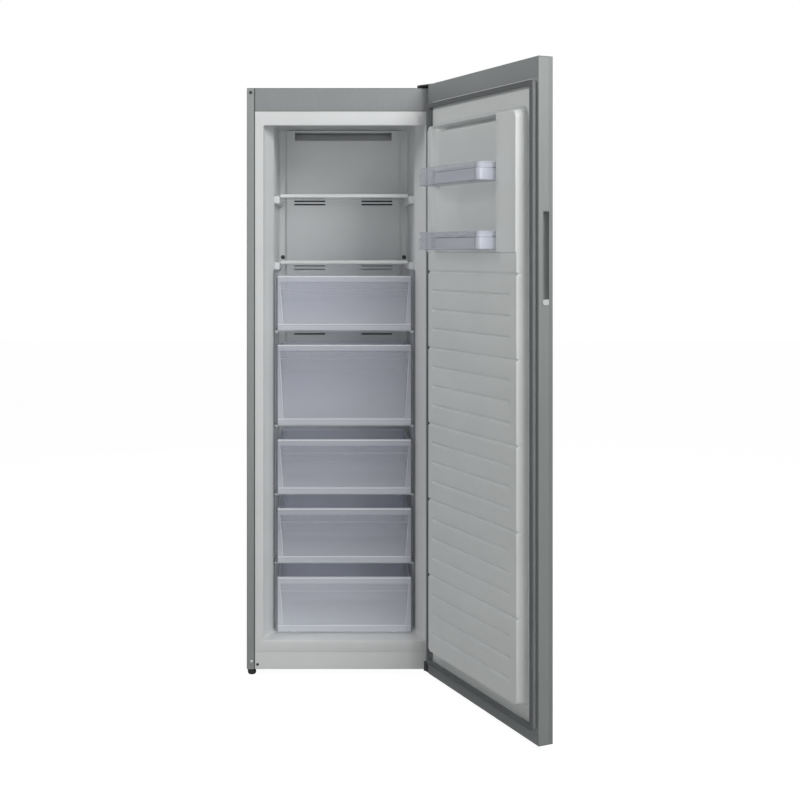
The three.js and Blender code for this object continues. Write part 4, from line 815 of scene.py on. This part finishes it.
def shelf_edges():
    """White trim on each shelf's front edge: a rounded lip over and under the glass, carried
    across the shelf and rounded at its ends."""
    y0, y1, wall, lap, half = 100.0, 112.0, 2.7, 7.0, 199.5
    for number, top in enumerate(SHELVES, 1):
        outline = [
            (y0, top - SHELF_TRIM), (y1, top - SHELF_TRIM), (y1, top - 8.2), (y0 + wall, top - 5.4),
            (y0 + wall, top - 0.8), (y0 + lap, top - 0.8), (y0 + lap, top), (y0, top),
        ]
        ring = rounded_profile(outline, 1.6, 3)
        middle = ring.mean(0)
        ends = [(half, 0.7), (half - 0.8, 0.97), (half - 2.5, 1.0)]
        sections = [(-x, size) for x, size in ends] + ends[::-1]
        rings = [middle + (ring - middle) * size for _, size in sections]
        grid = stacked(rings, [x for x, _ in sections], along(in_cabinet))
        piece(
            f"shelf_edge_{number}", [grid], WHITE, f"shelf_{number}",
            f"shelf_trim_{number}", sharp=40,
        )


def plug(name, x, z, radius, finish, y=0.0):
    """Round push-in plug: a low dome with a rim on an upright face of the cabinet."""
    profile = [
        (0.01, 1.2), (radius * 0.8, 1.2), (radius, 0.6), (radius, -0.4), (radius * 0.82, -1.1),
        (radius * 0.5, -1.5), (0.01, -1.6),
    ]
    grid = turned(profile, (x, z), lambda a, b, t: in_cabinet(a, y + t, b), 20)
    piece(name, [grid], finish, "cabinet", sharp=50)


def screw(name, x, z):
    """Cross-recessed screw on the back: the head is a low dome, the cross a dent in it."""
    radius, y = 4.0, BODY_BACK - 0.8
    r = np.linspace(0.02, 1, 9)[:, None] * radius
    angle = np.linspace(0, 2 * np.pi, 48, endpoint=False)[None, :]
    a, b = r * np.cos(angle), r * np.sin(angle)
    cross = np.minimum(np.abs(a), np.abs(b)) < 0.16 * radius
    dome = 0.8 * np.sqrt(1 - (r / radius) ** 2 * 0.85)
    dent = np.where(cross & (r < 0.62 * radius), 0.5, 0.0)
    top = in_cabinet(x + a, y + dome - dent, z + b)
    rim = in_cabinet(x + a[-1:], y - 0.2, z + b[-1:])
    piece(name, [np.concatenate([top, rim])], ZINC, "cabinet", sharp=40)


# Back and machine compartment

def rear_sheet():
    """Back sheet as a height field, flat but for the pressed bead round each of its two panels,
    and the bent sheet over and in front of the machine compartment as a profile carried across."""
    x = lines(
        (-SIDE_HALF, -262, 6), (-262, -238, 13), (-238, -27, 8), (-27, 27, 28), (27, 238, 8),
        (238, 262, 13), (262, SIDE_HALF, 6),
    )
    z = lines(
        (MACHINE_TOP - 0.4, 288, 6), (288, 345, 30), (345, 1690, 40), (1690, 1752, 32),
        (1752, SIDE_TOP - 0.1, 5),
    )
    across, up = x[None, :], z[:, None]
    panels = ((-250, -15), (15, 250))
    bead = sum(ease(1 - np.abs(past(across, up, *ends, 300, 1740, 30)) / 7) for ends in panels)
    face = BODY_BACK - 0.3 - 0.8 * bead
    sheet = in_cabinet(*backed(across, face, BODY_BACK - 2), up)
    rear, front, bottom, wall = BODY_BACK - 0.4, MACHINE_FRONT, 33.3, 0.6
    outline = [
        (rear, MACHINE_TOP), (front, MACHINE_TOP), (front, bottom), (front + wall, bottom),
        (front + wall, MACHINE_TOP - wall), (rear, MACHINE_TOP - wall),
    ]
    ring = rounded_profile(outline, 2.0, 4)
    half = SIDE_HALF - 1.3
    bent = stacked([ring, ring], [-half, half], along(in_cabinet))
    piece("rear_sheet", [sheet, bent], ZINC, "cabinet", "rear_panel", sharp=50)


def compressor():
    """Oval welded can: a rounded foot, a welded rim and a domed top, turned and stretched
    sideways, on its foot plate, with a cover over its terminals."""
    x, y, radius, bottom, seam, shoulder = 95.0, 521.5, 60.5, 44.4, 126.0, 169.0
    plate_half, plate_depth = 99.7, 50.0
    t = np.linspace(0, np.pi / 2, 10)
    curve = [(radius - 16 + 16 * math.sin(k), bottom + 16.1 - 16 * math.cos(k)) for k in t]
    rim = [
        (radius, seam - 5), (radius + 0.9, seam - 3.5), (radius + 1.5, seam),
        (radius + 0.9, seam + 3.5), (radius, seam + 5),
    ]
    dome = [(radius * math.cos(k) + 0.01, shoulder + 30.2 * math.sin(k)) for k in t]
    profile = [(0.01, bottom)] + curve + rim + dome
    can = turned(profile, (x, y), lambda a, b, k: in_cabinet(x + (a - x) * 1.35, b, k), 56)
    plan = (x - plate_half, x + plate_half, y - plate_depth, y + plate_depth)
    plate = soft_block(*plan, bottom - 3, bottom, 12, 0.8, in_cabinet)
    piece("compressor_can", [can, plate], LACQUER, "cabinet", "compressor")
    cover = soft_block(x + 71, x + 105, y - 24.5, y + 24.5, 86, 146, 7, 4, in_cabinet)
    piece("terminal_cover", [cover], BLACK, "cabinet")


def pipes():
    """Copper lines: from the can to the coil, from the coil through the drier to the roof, and
    back from the roof to the can. Each is a round section carried along a smoothed path."""
    runs = {
        "hot_pipe": (2.6, [
            (38, 556, 96), (18, 566, 96), (2, 566, 80), (-4, 560, 52), (-40, 552, 42),
            (-180, 548, 42), (-252, 546, 42), (-268, 536, 38), (-266, 520, 36), (-244, 517.5, 35.9),
        ]),
        "coil_outlet": (2.6, [
            (-244, 517.5, 189.8), (-262, 518, 190), (-272, 524, 196), (-272, 540, 214),
            (-272, 546, 210), (-272, 546, 190),
        ]),
        "capillary": (1.1, [
            (-272, 546, 118), (-272, 546, 104), (-262, 552, 96), (-244, 554, 104),
            (-240, 550, 130), (-240, 540, 200), (-236, 530, 249),
        ]),
        "suction_pipe": (3.6, [
            (150, 556, 112), (176, 568, 112), (204, 570, 122), (216, 562, 150), (216, 540, 200),
            (214, 520, 230), (212, 505, 249),
        ]),
        "charging_tube": (2.6, [
            (120, 570, 108), (126, 580, 108), (134, 583, 116), (136, 583, 150),
        ]),
    }
    for name, (radius, path) in runs.items():
        piece(name, [pipe(path, radius)], COPPER, "cabinet", sharp=60)
    middle = 154
    half = [(9.4, 24), (8.6, 28), (3.4, 34), (2.6, 38), (0.01, 38)]
    profile = [(r, middle - z) for r, z in half[::-1]] + [(r, middle + z) for r, z in half]
    drier = turned(profile, (-272, 546), in_cabinet, 28)
    piece("drier", [drier], COPPER, "cabinet", sharp=60)


def foot(name, x, y):
    """Levelling foot: a turned pad with round shoulders under a threaded stud whose ridges run
    round it."""
    pad = [
        (0.01, 0.0), (8.5, 0.0), (11.2, 1.6), (12.6, 4.6), (12.9, 8.0), (12.6, 11.5), (11.4, 14.6),
        (8.6, 16.8), (5.6, 17.4),
    ]
    stud = [(4.0 + 0.9 * (step % 2), 17.6 + 0.8 * step) for step in range(17)]
    grid = turned(pad + stud + [(0.01, 30.4)], (x, y), in_cabinet, 40)
    piece(f"{name}_levelling_foot", [grid], BLACK, name, f"front_{name}", sharp=32)


def grip_cup():
    """The lining of the finger pocket in the door's free edge: a soft-cornered ring carried in
    from a thin lip to a rounded bottom, and a rest at its foot, paler than the lining as a painted highlight."""
    v0, v1, z0, z1, wall = -35.7, -12.3, 1150.3, 1393.7, 1.0

    def ring(inset, corner):
        return corner_ring(v0 + inset, v1 - inset, z0 + inset, z1 - inset, corner, 5)

    inside = [(0.2, 0.0), (0.5, 2.0), (1.0, 14.0), (3.5, 20.0), (9.0, 23.0), (11.6, 23.4)]
    rings = [ring(wall + i, max(3.0, 6 - i / 2)) for i, _ in inside] + [ring(0.0, 3.5)] * 4
    depths = [u for _, u in inside] + [23.9, 14.0, 0.6, 0.0]
    grid = stacked(rings, depths, lambda a, b, t: in_door(t, a, b))
    piece("grip_cup", [grid], GRIP, "door", sharp=40, loop=True)
    t = np.linspace(0, 1, 9)
    u = np.r_[0.6 + 20 * t, 20.6, 0.6]
    z = z0 + np.r_[15.5 - 7.0 * ease(t), 1.2, 1.2]
    v = np.linspace(v0 + 1.6, v1 - 1.6, 7)
    rest = in_door(u, v[:, None], z)
    piece("grip_rest", [rest], GRIP_LIT, "door", sharp=40)


# Drawers

def drawer_front(number, seat, height):
    """Front panel as rows up its height. Its face is recessed inside a border whose sides widen
    downwards, with two shallow steps below the rim; a thick rail closes the top of the back and a
    thin one the foot."""
    z0, z1, roll = DRAWER_CLEAR, height + DRAWER_CLEAR, 1.6
    rows = lines(
        (z0, z0 + roll, 5), (z0 + roll, z0 + 16, 4), (z0 + 16, z0 + 24, 7), (z0 + 24, z1 - 40, 10),
        (z1 - 48, z1 - 36, 7), (z1 - 30, z1 - 16, 9), (z1 - 16, z1 - roll, 4), (z1 - roll, z1, 5),
    )
    z = rows[:, None]
    border = BORDER + BORDER_FLARE * (z1 - z) / height
    rounding = np.linspace(0, 1, 5) ** 1.5 * 0.25
    near = border * np.r_[rounding, np.linspace(0.4, 1.0, 4), np.linspace(1.1, 1.7, 6)]
    middle = np.linspace(-1, 1, 9)[None, 1:-1] * (DRAWER_HALF - border * 1.9)
    x = np.concatenate([-DRAWER_HALF + near, middle, (DRAWER_HALF - near)[:, ::-1]], 1)
    from_side = DRAWER_HALF - np.abs(x)
    sunk = ease((from_side - border) / 5) * ease((z - z0 - FOOT_BORDER) / 5)
    recess = 2.0 * sunk * ease((z1 - RIM_BORDER - z) / 3)
    recess += 0.8 * sunk * ease((z1 - STEP_FALL - z) / 3)
    edge = np.clip(np.minimum(from_side, np.minimum(z - z0, z1 - z)) / roll, 0, 1)
    round_off = roll * (1 - np.sqrt(1 - (1 - edge) ** 2))
    y = DRAWER_FRONT + recess + round_off
    top_rail = ease((rows - (z1 - 22)) / 3)
    foot_rail = ease(((z0 + 10) - rows) / 2)
    shrink = roll * np.clip(1 - np.minimum(rows - z0, z1 - rows) / roll, 0, 1)
    behind = DRAWER_FRONT + 4.2 + 8.8 * top_rail + 2.8 * foot_rail - shrink
    corners = [DRAWER_HALF, DRAWER_HALF - 1.0, -DRAWER_HALF + 1.0, -DRAWER_HALF]
    back_x = np.broadcast_to(corners, (len(rows), 4))
    back_y = np.stack([behind - 0.8, behind, behind, behind - 0.8], 1)
    ring_x = np.concatenate([x, back_x], 1)
    ring_y = np.concatenate([y, back_y], 1)
    piece(
        f"drawer_panel_{number}", [in_cabinet(ring_x, ring_y, seat + z)], PANELS[number - 1],
        f"drawer_{number}", f"drawer_front_{number}", sharp=35,
    )


def drawer_tub(number, seat, height):
    """Thin-walled tub: rings up the tapered outside, over a rolled rim and down the inside, each
    with its own inset and height. Its front wall is cut down to the floor, as the front panel
    closes it."""
    top, wall = height - TUB_DROP + DRAWER_CLEAR, 2.5
    outside = [
        (14, 0.4), (8, 0.9), (4, 2.8), (2.4, 6), (2.0, 12), (1.6, top * 0.5), (1.2, top - 9),
        (1.2, top - 7), (0.2, top - 6), (0.0, top - 1.2), (0.6, top),
    ]
    inside = [
        (2.2, top), (3.2, top - 1.2), (1.4 + wall, top - 8), (1.8 + wall, top * 0.5),
        (2.2 + wall, 14), (4.5 + wall, 5.5), (9 + wall, 3.2), (14 + wall, 2.9),
    ]
    rows = np.array(outside + inside)
    plan = (-TUB_HALF, TUB_HALF, TUB_FRONT, TUB_BACK)
    rings = tray(rows, *plan, (5, 18, 18, 5), 6, 220)
    limit = 3.4 + (top - 3.4) * ease((rings[..., 1] - TUB_FRONT - 2) / 12)
    grid = in_cabinet(rings[..., 0], rings[..., 1], seat + np.minimum(rows[:, 1:], limit))
    piece(
        f"drawer_bin_{number}", [grid], TUBS[number - 1], f"drawer_{number}",
        f"drawer_tub_{number}", sharp=40,
    )


# Door

def past(u, z, u0, u1, z0, z1, radius):
    """Distance inside a rectangle with round corners, negative outside it."""
    a = np.abs(u - (u0 + u1) / 2) - (u1 - u0) / 2 + radius
    b = np.abs(z - (z0 + z1) / 2) - (z1 - z0) / 2 + radius
    outside = np.hypot(np.maximum(a, 0), np.maximum(b, 0))
    return -(outside + np.minimum(np.maximum(a, b), 0) - radius)


def slope(distance, reach, height):
    """A wall that rises by height over reach, nearly straight, with a softened foot and top."""
    t = np.clip(distance / reach, 0, 1)
    return height * (0.6 * t + 0.4 * ease(t))


def recess_floor(u):
    """The rack recess's floor rises gently towards the hinge side."""
    return 22.0 * ease((u - 400.0) / 112.0)


def moulding_height(u, z, grooves):
    """Height of the door's liner over its plane: a plateau with round corners and a drawn side
    wall, a higher frame with a rolled ridge round the rack recess, whose floor is raised above
    the upper rack up to a slot under the ridge, and soft grooves, every fourth one long."""
    plateau, raised = 31.0, 3.0
    inside = past(u, z, 50, 545, 103.6, 1671, 18)
    upper = ease((z - 1284.5) / 4)
    reach = 7.2 + 10.0 * ease((z - 1640) / 24)
    v = slope(inside, reach, plateau) * (1 + raised / plateau * upper)
    bulge = 4.0 * ease((u - 62) / 80) * (1 - ease((u - 150) / 60))
    bulge = bulge - 0.4 * np.exp(-(((u - 62) / 3.0) ** 2))
    v = v + upper * bulge * ease((1668 - z) / 14) * ease((inside - 3) / 6)
    floor = recess_floor(u)
    floor = floor + (21.0 - floor) * ease((z - 1492) / 22)
    slot = ease((z - 1640) / 3) * ease((1654 - z) / 3) * ease((502 - u) / 26)
    floor = floor * (1 - slot) + 1.0 * slot
    hollow = ease((u - 147) / 5) * ease((516 - u) / 11) * ease((z - 1285.5) / 6)
    hollow = hollow * ease((1656 - z) / 5)
    v = v * (1 - hollow) + floor * hollow
    for number, groove in enumerate(grooves):
        start, stop = (44.0, 551.0) if number % 4 == 0 else (88.0, 515.0)
        length = ease((u - start) / 7) * ease((stop - u) / 7)
        across = np.cos(np.pi / 2 * np.clip((z - groove) / GROOVE_HALF, -1, 1)) ** 2
        v = v - GROOVE_DEPTH * length * across * np.clip(v / 20, 0, 1)
    return v


def door_grid(thickness, back_v, low_u, high_u, low_z, high_z):
    """The liner's height field, drawn down by thickness, closed round a flat back."""
    grooves = FIRST_GROOVE - GROOVE_PITCH * np.arange(GROOVE_COUNT)
    around = [(g - 7, g + 7, 15) for g in grooves]
    rows = lines(
        (low_z, 98, 4), (98, 124, 27), (124, 1270, 40), *around, (1278, 1296, 19), (1296, 1490, 12),
        (1490, 1516, 14), (1516, 1636, 8), (1636, 1676, 61), (1680, high_z, 5),
    )
    columns = lines(
        (low_u, 44, 4), (44, 70, 27), (70, 145, 16), (84, 98, 15), (145, 156, 12), (156, 400, 14),
        (400, 502, 18), (502, 520, 19), (520, 536, 5), (536, 552, 17), (552, high_u, 4),
    )
    u, z = columns[None, :], rows[:, None]
    return in_door(*backed(u, moulding_height(u, z, grooves) - thickness, back_v), z)


def door_liner():
    """The door's moulded liner, and the foam block that fills the door behind it."""
    edges = np.array([LINER_FREE, LINER_HINGE, LINER_BOTTOM, LINER_TOP])
    grid = door_grid(0.0, -2.0, *edges)
    piece("door_moulding", [grid], DOOR_WHITE, "door", "door_liner", sharp=50)
    grid = door_grid(3.4, -43.2, *(edges + [1.5, -1.5, 0.5, -0.5]))
    piece("door_filling", [grid], FOAM, "door", "door_foam", sharp=50)


def rack_pegs():
    """Small pegs that each rack sits on."""
    pegs = [
        soft_block(u, u + 12, z - 5.3, z - 0.3, -1, reach, 2, 1.2, back(in_door))
        for z in RACKS for u, reach in ((155.0, 25.0), (490.0, 26.0))
    ]
    piece("rack_pegs", pegs, DOOR_WHITE, "door")


def seal():
    """The door seal: a closed section with a narrow foot, folded bellows and a wide magnet lip,
    carried round the door's border."""
    section = [
        (3, 0.3), (11.5, 0.3), (11.5, 2.4), (9.6, 3.8), (11.8, 5.6), (10.4, 7.6), (14.5, 8.6),
        (14.5, 12.2), (13.5, 13.2), (8.0, 13.2), (7.2, 12.6), (6.4, 13.2), (1, 13.2), (0, 12.2),
        (0, 8.6), (4.4, 7.6), (2.4, 5.6), (4.6, 3.8), (3, 2.4),
    ]
    section = rounded_profile(section, 0.8, 2)
    rings = [
        corner_ring(10.5 + w, 584.5 - w, 56 + w, 1732 - w, max(0.8, 5 - w * 0.3), 5)
        for w, _ in section
    ]
    grid = stacked(rings, [v for _, v in section], back(in_door))
    piece("door_seal", [grid], SEAL, "door", "door_gasket", sharp=50, loop=True)


def rack(number, z):
    """Door rack: rings up the outside with a bead at the foot and a step two thirds of the way
    up, over the rim, and down the inside, each with its own inset and height. Its back keeps
    clear of the recess's rising floor."""
    outside = [
        (6, 0), (2.2, 0.5), (0.6, 2.0), (0.0, 3.6), (0.4, 5.0), (0.8, 7), (0.8, 33), (1.2, 34),
        (2.6, 34.6), (2.4, 46.5), (0.8, 47.4), (0.6, 50.2), (1.3, 51),
    ]
    inside = [
        (2.6, 51), (3.2, 50.2), (4.8, 46), (4.6, 34), (3.2, 33), (3.4, 8), (5, 4), (10, 3),
    ]
    rows = np.array(outside + inside)
    rings = tray(rows, RACK_FREE, RACK_HINGE, RACK_BACK, RACK_FRONT, (4, 22, 9, 4), 8, 260)
    u = rings[..., 0]
    v = np.maximum(rings[..., 1], recess_floor(u) + 1.2 + 0.3 * rows[:, :1])
    piece(
        f"rack_tray_{number}", [in_door(u, v, z + rows[:, 1:])], RACK, f"rack_{number}",
        f"door_rack_{number}", sharp=40,
    )


# Floor, light and camera

def blend(first, share, kind, strength, output):
    """A shader given over to white light of another kind by a share."""
    tree = first.id_data
    white = joined(tree, kind, {"Color": (1, 1, 1, 1), "Strength": strength})
    inputs = {0: share, 1: first.outputs[0], 2: white.outputs[0]}
    mix = joined(tree, "ShaderNodeMixShader", inputs)
    connect(mix.outputs[0], tree.nodes[output].inputs["Surface"])


def lit_room():
    """A dim even light from all round, which the camera, glosses and clear parts see as white."""
    world = bpy.data.worlds.new("studio")
    bpy.context.scene.world = world
    world.use_nodes = True
    tree = world.node_tree
    rays = tree.nodes.new("ShaderNodeLightPath").outputs
    kinds = ("Camera", "Glossy", "Transmission")
    seen = largest(*(Number(rays[f"Is {kind} Ray"]) for kind in kinds))
    room = tree.nodes["Background"]
    connect((0.97, 0.985, 1.0, 1), room.inputs["Color"])
    connect(AMBIENT, room.inputs["Strength"])
    blend(room, seen, "ShaderNodeBackground", 1.0, "World Output")


def pale_floor():
    """A pale floor that keeps the object's shadow and is white to the camera elsewhere."""
    mesh = bpy.data.meshes.new("floor")
    turns = ((-1, -1), (1, -1), (1, 1), (-1, 1))
    mesh.from_pydata([(a * FLOOR_REACH, b * FLOOR_REACH, 0) for a, b in turns], [], [(0, 1, 2, 3)])
    finish = bpy.data.materials.new("pale_floor")
    finish.use_nodes = True
    wired(finish, (FLOOR_TONE, FLOOR_TONE, FLOOR_TONE, 1), 0.9)
    shader = finish.node_tree.nodes["Principled BSDF"]
    rays = finish.node_tree.nodes.new("ShaderNodeLightPath").outputs
    share = Number(rays["Is Camera Ray"]) * GLOW_SHARE
    blend(shader, share, "ShaderNodeEmission", FLOOR_GLOW, "Material Output")
    mesh.materials.append(finish)
    placed("floor", mesh)


def lamps():
    """Soft lamps in front, at the side and behind, each turned towards its target."""
    for name, place, target, size, power in LAMPS:
        data = bpy.data.lights.new(name, "AREA")
        data.shape = "RECTANGLE"
        data.size, data.size_y = size
        data.energy = power
        lamp = placed(name, data)
        lamp.location = place
        lamp.rotation_euler = (Vector(target) - Vector(place)).to_track_quat("-Z", "Y").to_euler()


def camera():
    """Level camera straight in front, with the lens shifted as in the photograph."""
    data = bpy.data.cameras.new("camera")
    data.sensor_width = SENSOR
    data.lens = FOCAL / PICTURE * SENSOR
    data.shift_x = (PICTURE / 2 - VANISHING[0]) / PICTURE
    data.shift_y = -(PICTURE / 2 - VANISHING[1]) / PICTURE
    data.clip_end = 60
    view = placed("camera", data)
    view.location = in_cabinet(*CAMERA).tolist()
    view.rotation_euler = (math.pi / 2, 0, 0)
    bpy.context.scene.camera = view


dress_solids()
side_panel("left", -1)
side_panel("right", 1)
top_panel()
plinth()
liner()
duct()
ledges()
shelf_edges()
for number, (seat, height) in enumerate(zip(SUPPORTS, DRAWER_HEIGHTS), 1):
    drawer_front(number, seat, height)
    drawer_tub(number, seat, height)
door_liner()
rack_pegs()
grip_cup()
seal()
for number, z in enumerate(RACKS, 1):
    rack(number, z)
plug("flange_plug", -285.5, 1773.5, 5.2, DARK_PLUG)
plug("plinth_plug", -264.5, 33.5, 4.4, DARK_PLUG)
plug("flange_screw", -282.6, 41.8, 4.6, ALLOY)
rear_sheet()
compressor()
pipes()
for row, z in enumerate(SCREW_ROWS):
    for side, x in (("left", -SCREW_X), ("right", SCREW_X)):
        screw(f"back_screw_{side}_{row}", x, z)
foot("foot_left", -282.55, FOOT_Y)
foot("foot_right", 282.45, FOOT_Y)
for name, (x, z, radius) in WALL_PLUGS.items():
    plug(f"wall_plug_{name}", x, z, radius, DARK_PLUG, ROOM_BACK - 0.4)
lit_room()
pale_floor()
lamps()
camera()
bpy.context.scene.view_settings.view_transform = "Standard"
